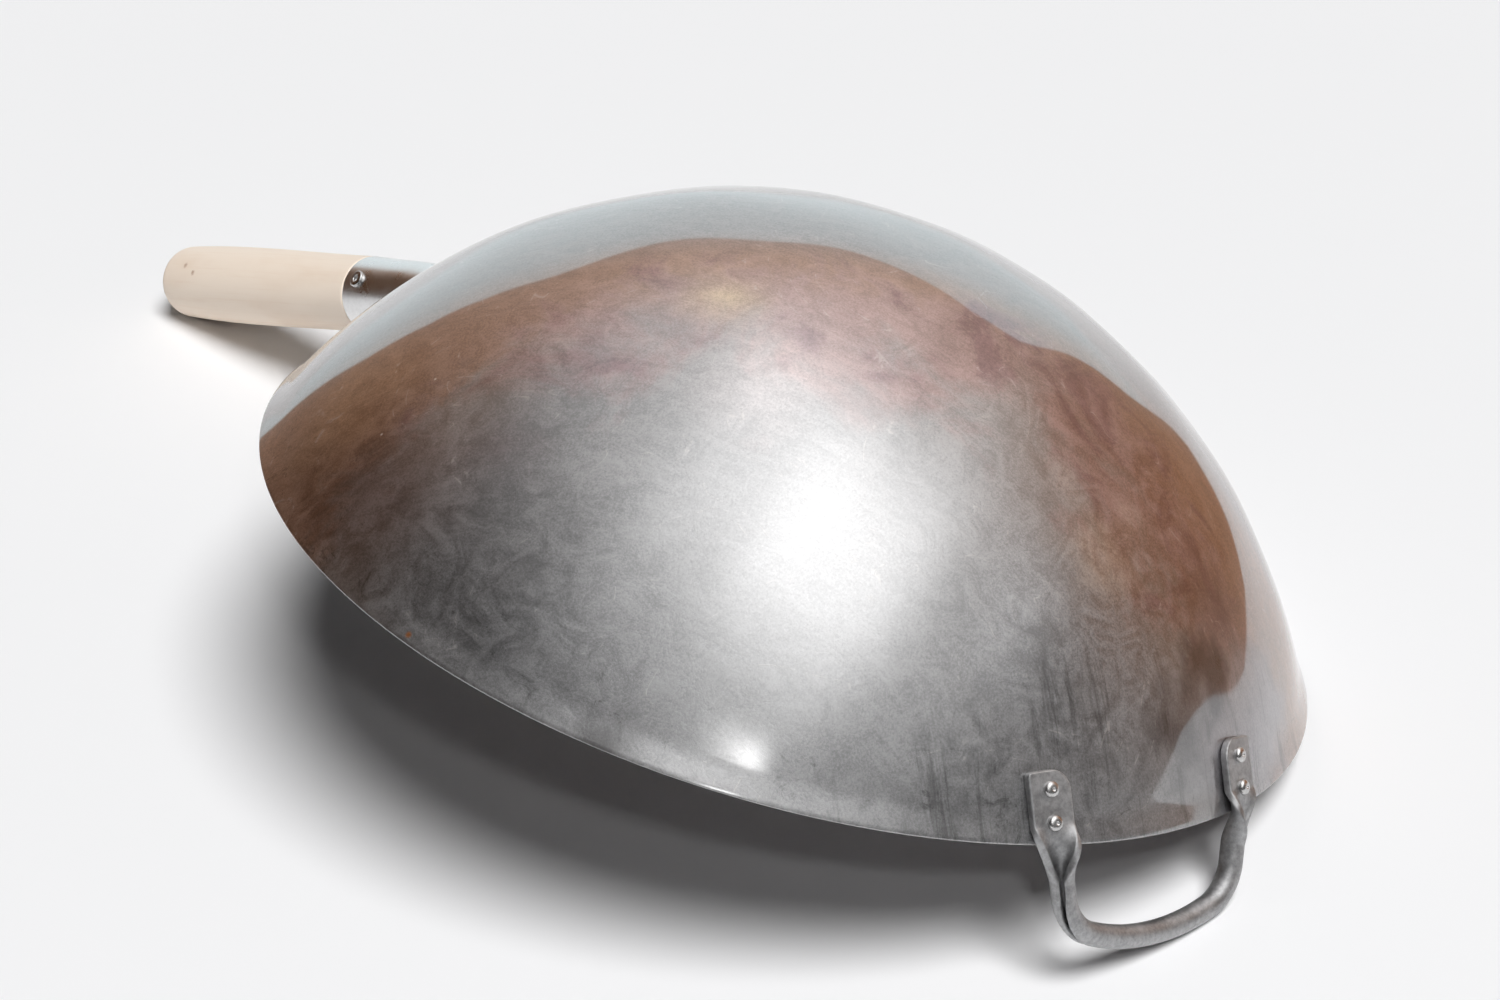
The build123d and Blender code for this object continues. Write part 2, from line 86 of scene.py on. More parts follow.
def cos(angle: np.ndarray | float) -> np.ndarray:
    """Cosine of an angle in degrees."""
    return np.cos(np.radians(angle))


def unit(vectors: np.ndarray) -> np.ndarray:
    """Vectors of length one along the last axis."""
    return vectors / np.linalg.norm(vectors, axis=-1, keepdims=True)


def bearing(azimuth: float, elevation: float) -> Triple:
    """Direction of an azimuth and an elevation."""
    flat = float(cos(elevation))
    return flat * float(cos(azimuth)), flat * float(sin(azimuth)), float(sin(elevation))


def smooth(share: np.ndarray) -> np.ndarray:
    """Cubic ease from 0 to 1: three times the share squared less twice its cube."""
    clipped = np.clip(share, 0.0, 1.0)
    return clipped * clipped * (3.0 - 2.0 * clipped)


def linked(name: str, data: bpy.types.ID) -> bpy.types.Object:
    """A new object of a mesh, a lamp or a camera, linked to the scene.

    Args:
        name: The object's name.
        data: What it shows.

    Returns:
        The object, at the origin.
    """
    thing = bpy.data.objects.new(name, data)
    bpy.context.scene.collection.objects.link(thing)
    return thing


class Slot(Enum):
    """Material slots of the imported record."""

    BOWL = "bowl_steel"
    HANDLE = "handle_steel"
    RIVET = "rivet_steel"
    GRIP_RIVET = "grip_rivet_steel"
    WOOD = "grip_wood"


@dataclass(frozen=True)
class UprightFrame:
    """Where the upright wok lies in the row frame, from the mounts on its base and grip."""

    origin: np.ndarray
    axes: np.ndarray

    @classmethod
    def from_record(cls, record: dict) -> "UprightFrame":
        """Read the frame from the record's mounts.

        Args:
            record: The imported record.

        Returns:
            The frame, whose axes are the rows of a matrix.
        """
        mounts = {mount["name"]: mount for mount in record["mounts"]}
        z_axis = -unit(np.array(mounts["base"]["axis"], float))
        grip = np.array(mounts["grip_hold"]["axis"], float)
        x_axis = -unit(grip - z_axis * (grip @ z_axis))
        axes = np.array([x_axis, np.cross(z_axis, x_axis), z_axis])
        return cls(np.array(mounts["base"]["pos_m"], float), axes)

    def place(self, points: np.ndarray) -> np.ndarray:
        """Upright points moved into the row frame."""
        return points @ self.axes + self.origin


class Piece:
    """A grid surface, made a mesh object in the row frame."""

    def __init__(self, name: str, upright: UprightFrame) -> None:
        """Start an empty piece.

        Args:
            name: The object's name.
            upright: Where the upright wok lies.
        """
        self.name = name
        self.upright = upright
        self.points: list[np.ndarray] = []
        self.faces: list[np.ndarray] = []
        self.count = 0

    def grid(self, surface: np.ndarray, wrap: bool = False, flip: bool = False) -> None:
        """Add a grid of points with a quad between each four neighbours.

        Args:
            surface: Points by row and column.
            wrap: Whether the last column joins the first.
            flip: Whether the faces turn the other way.
        """
        rows, columns = surface.shape[:2]
        index = np.arange(rows * columns).reshape(rows, columns) + self.count
        if wrap:
            index = np.concatenate([index, index[:, :1]], axis=1)
        corners = [index[:-1, :-1], index[:-1, 1:], index[1:, 1:], index[1:, :-1]]
        quads = np.stack(corners, axis=-1).reshape(-1, 4)
        self.points.append(surface.reshape(-1, 3))
        self.faces.append(quads[:, ::-1] if flip else quads)
        self.count += rows * columns

    def build(self, slot: Slot, nodes: tuple[str, ...], sharp: float) -> bpy.types.Object:
        """Make the mesh object, weld it, and put it in place of its CAD nodes.

        Args:
            slot: The record's material slot; not used.
            nodes: CAD nodes that the piece stands for.
            sharp: Angle beyond which an edge stays sharp.

        Returns:
            The finished object, riding on the root body.
        """
        mesh = bpy.data.meshes.new(self.name)
        places = self.upright.place(np.concatenate(self.points))
        mesh.from_pydata(places, [], np.concatenate(self.faces).tolist())
        weld(mesh)
        mesh.polygons.foreach_set("use_smooth", np.ones(len(mesh.polygons), bool))
        mesh.set_sharp_from_angle(angle=math.radians(sharp))
        piece = linked(self.name, mesh)
        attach(piece, "root")
        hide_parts(*nodes)
        LOG.info("%s: %d faces", self.name, len(mesh.polygons))
        return piece


def weld(mesh: bpy.types.Mesh) -> None:
    """Merge a mesh's coincident points, drop faces of no area, and turn its faces outwards.

    Args:
        mesh: The mesh to clean.
    """
    work = bmesh.new()
    work.from_mesh(mesh)
    bmesh.ops.remove_doubles(work, verts=work.verts, dist=WELD_REACH)
    bmesh.ops.dissolve_degenerate(work, edges=work.edges, dist=EMPTY_EDGE)
    bmesh.ops.recalc_face_normals(work, faces=work.faces)
    work.to_mesh(mesh)
    work.free()


def turned(profile: np.ndarray, sides: int) -> np.ndarray:
    """A profile of radius and height carried round the Z axis: x and y are the radius times cosine and sine.

    Args:
        profile: Radius and height of each point, from axis to axis or closed.
        sides: Number of steps round the axis.

    Returns:
        Points by profile point and by step.
    """
    turn = np.linspace(0.0, FULL_TURN, sides, endpoint=False)
    radius, height = profile[:, :1], profile[:, 1:]
    height = np.broadcast_to(height, (len(profile), sides))
    return np.stack([radius * cos(turn), radius * sin(turn), height], axis=-1)


def rounded(corners: list[Pair], radii: list[float], steps: int) -> np.ndarray:
    """A polyline whose inner corners are arcs of given radii.

    Each arc touches both its sides at the radius over the tangent of half the corner, and its points turn
    evenly about the arc's centre.

    Args:
        corners: The polyline's points.
        radii: One radius for each point, 0 for a sharp one.
        steps: Points of each arc, less one.

    Returns:
        The outline's points in order.
    """
    points = [np.array(corners[0])]
    for before, corner, after, radius in zip(corners[:-2], corners[1:-1], corners[2:], radii[1:-1]):
        here = np.array(corner)
        back, ahead = unit(np.array(before) - here), unit(np.array(after) - here)
        if radius == 0.0:
            points.append(here)
            continue
        half = math.acos(np.clip(back @ ahead, -1.0, 1.0)) / 2.0
        centre = here + unit(back + ahead) * radius / math.sin(half)
        reach = radius / math.tan(half)
        start, end = back * reach + here - centre, ahead * reach + here - centre
        turn = math.atan2(start[0] * end[1] - start[1] * end[0], start @ end)
        for share in np.linspace(0.0, 1.0, steps + 1):
            c, s = math.cos(turn * share), math.sin(turn * share)
            points.append(centre + np.array([start[0] * c - start[1] * s, start[0] * s + start[1] * c]))
    points.append(np.array(corners[-1]))
    return np.array(points)


@dataclass(frozen=True)
class Wall:
    """The bowl's pressed wall: a base arc, a flank arc, a reversed blend and a straight lip."""

    rim_radius: float = 0.178
    depth: float = 0.1113
    thickness: float = 0.0016
    flank_slope: float = 60.0
    base_slope_share: float = 0.5
    lip_width: float = 0.008
    lip_flare: float = 5.0
    blend_radius: float = 0.016
    rim_edge_radius: float = 0.00045

    @property
    def base_slope(self) -> float:
        """Slope where the base arc meets the flank."""
        return self.flank_slope * self.base_slope_share

    @property
    def lip_slope(self) -> float:
        """Slope of the straight lip."""
        return self.flank_slope - self.lip_flare

    def radii(self) -> tuple[float, float, float, float]:
        """Base and flank radius, and the radius and height where the flank ends.

        Returns:
            The four lengths, from two equations: the arcs' runs add up to the radius, and their rises to the
            height, where the blend starts.
        """
        end_radius = self.rim_radius - self.blend_radius * (sin(self.flank_slope) - sin(self.lip_slope))
        end_radius -= self.lip_width * cos(self.lip_slope)
        end_height = self.depth - self.blend_radius * (cos(self.lip_slope) - cos(self.flank_slope))
        end_height -= self.lip_width * sin(self.lip_slope)
        run = sin(self.flank_slope) - sin(self.base_slope)
        rise = cos(self.base_slope) - cos(self.flank_slope)
        base_run, base_rise = sin(self.base_slope), 1.0 - cos(self.base_slope)
        below = base_run * rise - base_rise * run
        base = (end_radius * rise - end_height * run) / below
        flank = (end_height * base_run - end_radius * base_rise) / below
        return float(base), float(flank), float(end_radius), float(end_height)

    def at(self, drop: np.ndarray) -> tuple[np.ndarray, np.ndarray, np.ndarray]:
        """Radius, height and slope of the outer wall at distances below the rim along it.

        Args:
            drop: Distances from the rim.

        Returns:
            Three arrays: lines where the lip is, and elsewhere arc centre plus radius times sine or cosine.
        """
        base, flank, end_radius, end_height = self.radii()
        drop = np.asarray(drop, float)
        lip_end = self.lip_width
        blend_end = lip_end + self.blend_radius * math.radians(self.lip_flare)
        flank_end = blend_end + flank * math.radians(self.flank_slope - self.base_slope)
        zones = [drop <= lip_end, drop <= blend_end, drop <= flank_end]
        slope = np.select(
            zones,
            [
                np.full_like(drop, self.lip_slope),
                self.lip_slope + np.degrees((drop - lip_end) / self.blend_radius),
                self.flank_slope - np.degrees((drop - blend_end) / flank),
            ],
            self.base_slope - np.degrees((drop - flank_end) / base),
        )
        radius = np.select(
            zones,
            [
                self.rim_radius - drop * cos(self.lip_slope),
                end_radius + self.blend_radius * (sin(self.flank_slope) - sin(slope)),
                end_radius - flank * (sin(self.flank_slope) - sin(slope)),
            ],
            base * sin(slope),
        )
        height = np.select(
            zones,
            [
                self.depth - drop * sin(self.lip_slope),
                end_height + self.blend_radius * (cos(slope) - cos(self.flank_slope)),
                end_height - flank * (cos(slope) - cos(self.flank_slope)),
            ],
            base * (1.0 - cos(slope)),
        )
        return radius, height, slope

    @property
    def length(self) -> float:
        """Length of the outer wall from the rim to the middle of the base.

        Returns:
            The lip's width and each arc's radius times its turn.
        """
        base, flank, _, _ = self.radii()
        arcs = base * self.base_slope + flank * (self.flank_slope - self.base_slope)
        return self.lip_width + math.radians(self.blend_radius * self.lip_flare + arcs)

    def point(self, drop: np.ndarray, azimuth: np.ndarray, out: np.ndarray | float = 0.0) -> np.ndarray:
        """Upright points beside the outer wall: the wall's point plus its outward normal times a distance.

        Args:
            drop: Distances below the rim along the wall.
            azimuth: Angles about the bowl's axis.
            out: Distances outwards.

        Returns:
            The points.
        """
        radius, height, slope = self.at(drop)
        across = radius + out * sin(slope)
        parts = (across * cos(azimuth), across * sin(azimuth), height - out * cos(slope))
        return np.stack(np.broadcast_arrays(*parts), -1)

    def normal(self, drop: np.ndarray, azimuth: np.ndarray) -> np.ndarray:
        """Outward normals of the outer wall, from the sines and cosines of slope and azimuth.

        Args:
            drop: Distances below the rim along the wall.
            azimuth: Angles about the bowl's axis.

        Returns:
            The normals.
        """
        slope = self.at(drop)[2]
        parts = (sin(slope) * cos(azimuth), sin(slope) * sin(azimuth), -cos(slope))
        return np.stack(np.broadcast_arrays(*parts), -1)

    def clear(
        self, points: np.ndarray, gap: float = SEAT_GAP, reach: float = 0.04, samples: int = 600
    ) -> np.ndarray:
        """Push points that lie inside the outer wall out to its face.

        Each point is compared with the nearest of many samples of the meridian, and moves along that sample's
        normal until it stands the gap outside it.

        Args:
            points: Upright points.
            gap: Distance left between wall and point.
            reach: How far below the rim the meridian is sampled.
            samples: Number of samples from the rim down.

        Returns:
            The points, moved where they had to be.
        """
        drop = np.linspace(0.0, reach, samples)
        radius, height, slope = self.at(drop)
        flat = points.reshape(-1, 3)
        across = np.hypot(flat[:, 0], flat[:, 1])
        azimuth = np.degrees(np.arctan2(flat[:, 1], flat[:, 0]))
        away = np.hypot(across[:, None] - radius, flat[:, 2, None] - height)
        near = away.argmin(axis=1)
        out = (across - radius[near]) * sin(slope[near]) - (flat[:, 2] - height[near]) * cos(slope[near])
        inside = (out < gap) & (near > 0)
        moved = self.point(drop[near], azimuth, gap)
        return np.where(inside[:, None], moved, flat).reshape(points.shape)


@dataclass(frozen=True)
class Bowl:
    """The pressed bowl with its softened rim edge and the slight unevenness of hand work."""

    wall: Wall = Wall()
    sides: int = 384
    wall_steps: int = 110
    edge_steps: int = 5
    edge_start_share: float = 0.25
    dent_height: float = 0.00012
    dent_pace: float = 2.0
    sharp: float = 50.0
    dent_waves: tuple[tuple[float, float, float, float], ...] = (
        (21.0, 33.0, 17.0, 0.3),
        (-38.0, 19.0, 26.0, 1.9),
        (55.0, -47.0, 31.0, 4.1),
        (-13.0, -64.0, 44.0, 2.6),
    )

    def profile(self) -> np.ndarray:
        """Radius and height from the base's middle, along the outside, over the rim and back inside.

        Returns:
            The section's points. The rim's two corners are arcs of the rim's edge radius.
        """
        wall = self.wall
        drop = np.linspace(wall.length, wall.lip_width * self.edge_start_share, self.wall_steps)
        radius, height, slope = wall.at(drop)
        outer = np.stack([radius, height], axis=1)
        inner = np.stack([radius - wall.thickness * sin(slope), height + wall.thickness * cos(slope)], 1)
        inner_rim = wall.rim_radius - wall.thickness / sin(wall.lip_slope)
        corners = [tuple(outer[-1]), (wall.rim_radius, wall.depth), (inner_rim, wall.depth), tuple(inner[-1])]
        rim = rounded(corners, [0.0, wall.rim_edge_radius, wall.rim_edge_radius, 0.0], self.edge_steps)
        profile = np.concatenate([outer[:-1], rim, inner[::-1][1:]])
        profile[[0, -1], 0] = 0.0
        return profile

    def uneven(self, surface: np.ndarray) -> np.ndarray:
        """Move both faces alike by a sum of sines of the place, as the press and the hammer leave them.

        Args:
            surface: Upright points of the bowl.

        Returns:
            The points, moved along the line from the base arc's centre, and less towards the rim.
        """
        waves = np.array(self.dent_waves)
        phases = surface @ waves[:, :3].T * self.dent_pace + waves[:, 3]
        height = np.sin(phases).sum(axis=-1) * self.dent_height
        centre = np.array([0.0, 0.0, self.wall.radii()[0]])
        fade = smooth((self.wall.depth - surface[..., 2]) / self.wall.lip_width)
        return surface + unit(surface - centre) * (height * fade)[..., None]

    def build(self, upright: UprightFrame) -> bpy.types.Object:
        """Make the bowl.

        Args:
            upright: Where the upright wok lies.

        Returns:
            The bowl's object.
        """
        piece = Piece("bowl_shell", upright)
        piece.grid(self.uneven(turned(self.profile(), self.sides)), wrap=True)
        return piece.build(Slot.BOWL, ("bowl",), self.sharp)


def corner_inset(reach: np.ndarray, radius: float) -> np.ndarray:
    """How far a rounded corner draws a side in: the radius less the root of its square less what is left's.

    Args:
        reach: Distances from the end that has the corner.
        radius: The corner's radius.

    Returns:
        The insets, zero past the corner.
    """
    left = np.clip(radius - reach, 0.0, radius)
    return radius - np.sqrt(radius * radius - left * left)


class Stations(NamedTuple):
    """Places along the strip: middle, heading, direction towards the seam, and curl."""

    middle: np.ndarray
    heading: np.ndarray
    facing: np.ndarray
    curl: np.ndarray


@dataclass(frozen=True)
class HelperHandle:
    """One strip: two flat pads, necks that roll up, and the tube of the bail between them."""

    wall: Wall = Wall()
    width: float = 0.0144
    thickness: float = 0.0026
    edge_radius: float = 0.0007
    pad_height: float = 0.022
    pad_flat_end: float = 0.0060
    pad_outer_corner: float = 0.0065
    pad_inner_corner: float = 0.0016
    pad_spacing: float = 0.081
    bail_slope: float = 66.0
    bail_offset: float = 0.0013
    bail_reach: float = 0.0314
    bow_radius: float = 0.085
    bow_half_turn: float = 17.6
    corner_radius: float = 0.016
    leg_lean: float = 8.5
    roll_end: float = 0.0095
    leg_seam_gap: float = 0.00112
    corner_seam_gap: float = 0.00043
    bow_seam_gap: float = 0.0001
    leg_seam_turn: float = 48.0
    corner_seam_turn: float = 95.0
    pad_steps: int = 40
    neck_steps: int = 40
    leg_steps: int = 14
    corner_steps: int = 30
    bow_steps: int = 26
    pad_crowd_share: float = 0.35
    least_curl: float = 0.5
    side_points: int = 20
    edge_points: int = 5
    sharp: float = 70.0

    @property
    def roll_radius(self) -> float:
        """Radius of the rolled strip's middle line."""
        return (self.width + self.leg_seam_gap) / (2.0 * math.pi)

    @property
    def pad_middle(self) -> float:
        """Drop of the pad's middle."""
        return (self.pad_height + self.pad_flat_end) / 2.0

    @property
    def pad_length(self) -> float:
        """Length of the flat pad."""
        return self.pad_height - self.pad_flat_end

    @property
    def azimuth(self) -> float:
        """Azimuth of the left pad."""
        return math.degrees(math.asin(self.pad_spacing / 2.0 / self.wall.at(self.pad_middle)[0]))

    @property
    def normal(self) -> np.ndarray:
        """Normal of the bail's plane, on the wall's outer side."""
        return np.array([sin(self.bail_slope), 0.0, -cos(self.bail_slope)])

    @property
    def roll_centre(self) -> Pair:
        """Sideways place and rise of the corner arc's centre.

        Returns:
            The two lengths: the corner touches the bow from inside where the bow ends.
        """
        inward = self.bow_radius - self.corner_radius
        rise = self.bail_reach - self.bow_radius + inward * cos(self.bow_half_turn)
        return float(inward * sin(self.bow_half_turn)), float(rise)

    def bail(self, across: np.ndarray | float, rise: np.ndarray | float) -> np.ndarray:
        """Points of the bail's plane, which passes just outside the rim and leans by its slope.

        Args:
            across: Sideways places.
            rise: Distances past the rim.

        Returns:
            Upright points.
        """
        rim_x = self.wall.rim_radius * cos(self.azimuth) + self.bail_offset
        x, z = rim_x + rise * cos(self.bail_slope), self.wall.depth + rise * sin(self.bail_slope)
        return np.stack(np.broadcast_arrays(x, across, z), axis=-1)

    def way(self, across: np.ndarray | float, rise: np.ndarray | float) -> np.ndarray:
        """Directions in the bail's plane."""
        parts = np.broadcast_arrays(rise * cos(self.bail_slope), across, rise * sin(self.bail_slope))
        return np.stack(parts, axis=-1)

    def pad_frame(self) -> tuple[np.ndarray, np.ndarray, np.ndarray]:
        """Find where the left pad sits: a plane through the wall's points at its two ends.

        Returns:
            Middle of the pad's seat on the wall, its up direction and its normal.
        """
        points = self.wall.point(np.array([self.pad_height, 0.0, self.pad_middle]), self.azimuth)
        side = np.array([-sin(self.azimuth), cos(self.azimuth), 0.0])
        normal = unit(np.cross(side, unit(points[1] - points[0])))
        return points[2], unit(np.cross(normal, SIDEWAYS)), normal

    def seam(self, swing: np.ndarray | float, turn: np.ndarray | float) -> np.ndarray:
        """Direction from the tube's back to its seam, turned from the bail's front outwards."""
        outward = self.way(cos(swing), sin(swing))
        return self.normal * np.asarray(cos(turn))[..., None] + outward * np.asarray(sin(turn))[..., None]

    def full_curl(self, seam_gap: float) -> float:
        """Curl of the rolled strip, a full turn less the angle of the gap left at its seam."""
        return FULL_TURN - math.degrees(seam_gap / self.roll_radius)

    def pad_top(self) -> tuple[np.ndarray, np.ndarray, np.ndarray]:
        """Find where the left pad ends and its neck starts.

        Returns:
            Middle of the strip there, the pad's up direction and its normal.
        """
        middle, up, normal = self.pad_frame()
        rise = self.pad_middle - self.pad_flat_end
        return middle + up * rise + normal * (self.thickness / 2.0), up, normal

    def leg_foot(self) -> tuple[np.ndarray, np.ndarray, np.ndarray, float]:
        """Find where the left neck ends and its leg starts.

        Returns:
            Middle of the strip there, the leg's up direction, its seam's direction, and its length.
        """
        corner_across, corner_rise = self.roll_centre
        up = self.way(-sin(self.leg_lean), cos(self.leg_lean))
        facing = self.seam(self.leg_lean, self.leg_seam_turn)
        across = corner_across + self.corner_radius * cos(self.leg_lean)
        rise = corner_rise + self.corner_radius * sin(self.leg_lean)
        length = float((rise - self.roll_end) / cos(self.leg_lean))
        return self.bail(across, rise) - facing * self.roll_radius - up * length, up, facing, length

    def pad_reach(self) -> np.ndarray:
        """Distances of the pad's stations from its end.

        Returns:
            The pad's length times part of the share and the rest of its square, which crowds them there.
        """
        share = np.linspace(0.0, 1.0, self.pad_steps, endpoint=False)
        even = self.pad_crowd_share
        return self.pad_length * (even * share + (1.0 - even) * share * share)

    @staticmethod
    def straight(middle: np.ndarray, heading: np.ndarray, facing: np.ndarray, curl: float) -> Stations:
        """Stations of a straight stretch, which differ in their middles alone."""
        parts = (np.broadcast_to(part, middle.shape) for part in (heading, facing))
        return Stations(middle, *parts, np.full(len(middle), curl))

    def pad(self) -> Stations:
        """The pad's stations, straight up the wall."""
        start, up, normal = self.pad_top()
        return self.straight(start + up * (self.pad_reach() - self.pad_length)[:, None], up, normal, 0.0)

    def neck(self) -> Stations:
        """The neck's stations, along a cubic curve from the pad to the leg.

        Returns:
            The stations. The curl changes evenly, and heading and seam direction ease in and out.
        """
        start, up, normal = self.pad_top()
        end, leg_up, facing, _ = self.leg_foot()
        pull = np.linalg.norm(end - start) / 3.0
        share = np.linspace(0.0, 1.0, self.neck_steps, endpoint=False)[:, None]
        rest = 1.0 - share
        middle = start * rest**3 + (start + up * pull) * (3.0 * rest**2 * share)
        middle = middle + (end - leg_up * pull) * (3.0 * rest * share**2) + end * share**3
        ease = smooth(share)
        heading = up * (1.0 - ease) + leg_up * ease
        facing = normal * (1.0 - ease) + facing * ease
        return Stations(middle, heading, facing, self.full_curl(self.leg_seam_gap) * share[:, 0])

    def leg(self) -> Stations:
        """The leg's stations, straight from the neck to the corner.

        Returns:
            The stations.
        """
        start, up, facing, length = self.leg_foot()
        share = np.linspace(0.0, 1.0, self.leg_steps, endpoint=False)[:, None]
        return self.straight(start + up * length * share, up, facing, self.full_curl(self.leg_seam_gap))

    def arcs(self) -> Stations:
        """The stations of the corner and of half the bow, on two arcs that touch.

        Returns:
            The stations. The seam turns outwards round the corner, and its gap closes up to the bow's middle.
        """
        corner_across, corner_rise = self.roll_centre
        corner_share = np.linspace(0.0, 1.0, self.corner_steps, endpoint=False)
        bow_share = np.linspace(0.0, 1.0, self.bow_steps)
        corner_end = QUARTER_TURN - self.bow_half_turn
        corner_swing = self.leg_lean + (corner_end - self.leg_lean) * corner_share
        swing = np.concatenate([corner_swing, corner_end + self.bow_half_turn * bow_share])
        corner_turn = self.leg_seam_turn + (self.corner_seam_turn - self.leg_seam_turn) * corner_share
        turn = np.concatenate([corner_turn, np.full(self.bow_steps, self.corner_seam_turn)])
        in_corner = np.arange(len(swing)) < self.corner_steps
        radius = np.where(in_corner, self.corner_radius, self.bow_radius)
        across = np.where(in_corner, corner_across, 0.0)
        rise = np.where(in_corner, corner_rise, self.bail_reach - self.bow_radius)
        facing = self.seam(swing, turn)
        middle = self.bail(across + radius * cos(swing), rise + radius * sin(swing))
        leg = self.full_curl(self.leg_seam_gap)
        corner = self.full_curl(self.corner_seam_gap)
        bow = self.full_curl(self.bow_seam_gap)
        curl = np.concatenate([leg + (corner - leg) * corner_share, corner + (bow - corner) * bow_share])
        return Stations(middle - facing * self.roll_radius, self.way(-sin(swing), cos(swing)), facing, curl)

    def path(self) -> Stations:
        """The strip's stations from the left pad's end to the bow's middle.

        Returns:
            Those of the pad, the neck, the leg and the arcs, in this order.
        """
        stretches = (self.pad(), self.neck(), self.leg(), self.arcs())
        middle, heading, facing, curl = (np.concatenate(parts) for parts in zip(*stretches))
        return Stations(middle, unit(heading), unit(facing), curl)

    def section(self, reach: np.ndarray) -> tuple[np.ndarray, np.ndarray]:
        """Places round the strip's flat section at each station, across the strip and through it.

        Sides are straight and the four corners are quarter arcs. Near the pad's end the half-widths are drawn
        in by the insets of the pad's corners, and the half-thickness by that of its edge.

        Args:
            reach: Distance of each station from the pad's end.

        Returns:
            Two arrays by station and by place round the section.
        """
        edge = self.edge_radius
        high = self.width / 2.0 - corner_inset(reach, self.pad_outer_corner) - edge
        low = -self.width / 2.0 + corner_inset(reach, self.pad_inner_corner) + edge
        thick = self.thickness / 2.0 - corner_inset(reach, edge) - edge
        span = np.linspace(0.0, 1.0, self.side_points)
        quarter = np.linspace(0.0, QUARTER_TURN, self.edge_points + 1)[1:]
        across, through = [], []
        for side, first, last in ((-1.0, low, high), (1.0, high, low)):
            across.append(first[:, None] + (last - first)[:, None] * span)
            through.append(np.repeat((thick * side + edge * side)[:, None], self.side_points, axis=1))
            across.append(last[:, None] - edge * side * sin(quarter))
            through.append((thick * side)[:, None] + edge * side * cos(quarter))
            across.append(last[:, None] - edge * side * cos(quarter[:-1]))
            through.append((-thick * side)[:, None] - edge * side * sin(quarter[:-1]))
        return np.concatenate(across, axis=1), np.concatenate(through, axis=1)

    def surface(self) -> np.ndarray:
        """The left half's surface: the flat section bent round a centre in front of its middle.

        A place s across the strip and h through it goes to angle s over the roll radius, at the roll radius
        less h from the centre. Where the strip is flat the radius is very large.

        Returns:
            Upright points by station and by place round the section.
        """
        path = self.path()
        past = np.full(len(path.curl) - self.pad_steps, self.pad_length)
        across, through = self.section(np.concatenate([self.pad_reach(), past]))
        sideways = unit(np.cross(path.facing, path.heading))
        front = np.cross(path.heading, sideways)
        curl = np.radians(np.maximum(path.curl, self.least_curl))[:, None]
        radius = self.width / curl
        angle = across / radius
        side = (radius - through) * np.sin(angle)
        ahead = radius - (radius - through) * np.cos(angle)
        bent = sideways[:, None] * side[..., None] + front[:, None] * ahead[..., None]
        return self.wall.clear(path.middle[:, None] + bent)

    def build(self, upright: UprightFrame) -> bpy.types.Object:
        """Make the handle: the left half, its mirror image, and a cap on each pad's end.

        Args:
            upright: Where the upright wok lies.

        Returns:
            The handle's object.
        """
        left = self.surface()
        right = left[::-1][1:] * np.array([1.0, -1.0, 1.0])
        whole = np.concatenate([left, right])
        piece = Piece("helper_handle_strip", upright)
        piece.grid(whole, wrap=True)
        for end in (whole[0], whole[-1]):
            middle = end.mean(axis=0)
            piece.grid(np.stack([end, np.broadcast_to(middle, end.shape)]), wrap=True)
        return piece.build(Slot.HANDLE, ("helper_handle",), self.sharp)


@dataclass(frozen=True)
class Rivet:
    """A round rivet of one outline: dimpled dome, shank and flat tail."""

    shank_radius: float
    head_radius: float
    head_height: float
    dimple_radius: float
    dimple_depth: float
    tail_radius: float
    tail_height: float
    tail_round: float = 0.6
    dome_power: float = 0.75
    dimple_steps: int = 6
    dome_steps: int = 14
    tail_steps: int = 5
    sides: int = 48
    sharp: float = 40.0

    def profile(self, stack: float) -> np.ndarray:
        """Radius and height, from the dimple's middle over the dome, down the shank and round the tail.

        The dome is a quarter of an ellipse whose height share is raised to a power below one, which keeps its
        sides full, and the dimple a cosine bowl.

        Args:
            stack: Thickness that the rivet holds together.

        Returns:
            The outline's points.
        """
        inner = np.linspace(0.0, 1.0, self.dimple_steps + 1)[:-1]
        outer = np.linspace(0.0, QUARTER_TURN, self.dome_steps + 1)
        crest = self.dimple_radius / self.head_radius
        spread = crest + (1.0 - crest) * sin(outer)
        rise = self.head_height * cos(outer) ** self.dome_power
        sink = self.dimple_depth * (1.0 + cos(HALF_TURN * inner)) / 2.0
        dimple = np.stack([self.dimple_radius * inner, self.head_height - sink], axis=1)
        dome = np.stack([self.head_radius * spread, rise], axis=1)
        tail = rounded(
            [
                (self.shank_radius, 0.0),
                (self.shank_radius, -stack),
                (self.tail_radius, -stack),
                (self.tail_radius, -stack - self.tail_height),
                (0.0, -stack - self.tail_height),
            ],
            [0.0, 0.0, 0.0, self.tail_height * self.tail_round, 0.0],
            self.tail_steps,
        )
        return np.concatenate([dimple, dome, tail])

    def build(
        self, name: str, upright: UprightFrame, seat: np.ndarray, axis: np.ndarray, stack: float
    ) -> bpy.types.Object:
        """Make one rivet.

        Args:
            name: CAD node that the rivet stands for.
            upright: Where the upright wok lies.
            seat: Upright point under the head's middle.
            axis: Direction from the tail to the head.
            stack: Thickness that the rivet holds together.

        Returns:
            The rivet's object.
        """
        side = unit(np.cross(axis, OFF_AXIS))
        basis = np.array([side, np.cross(axis, side), axis])
        piece = Piece(name + "_button", upright)
        piece.grid(turned(self.profile(stack), self.sides) @ basis + seat, wrap=True)
        return piece.build(Slot.RIVET, (name,), self.sharp)


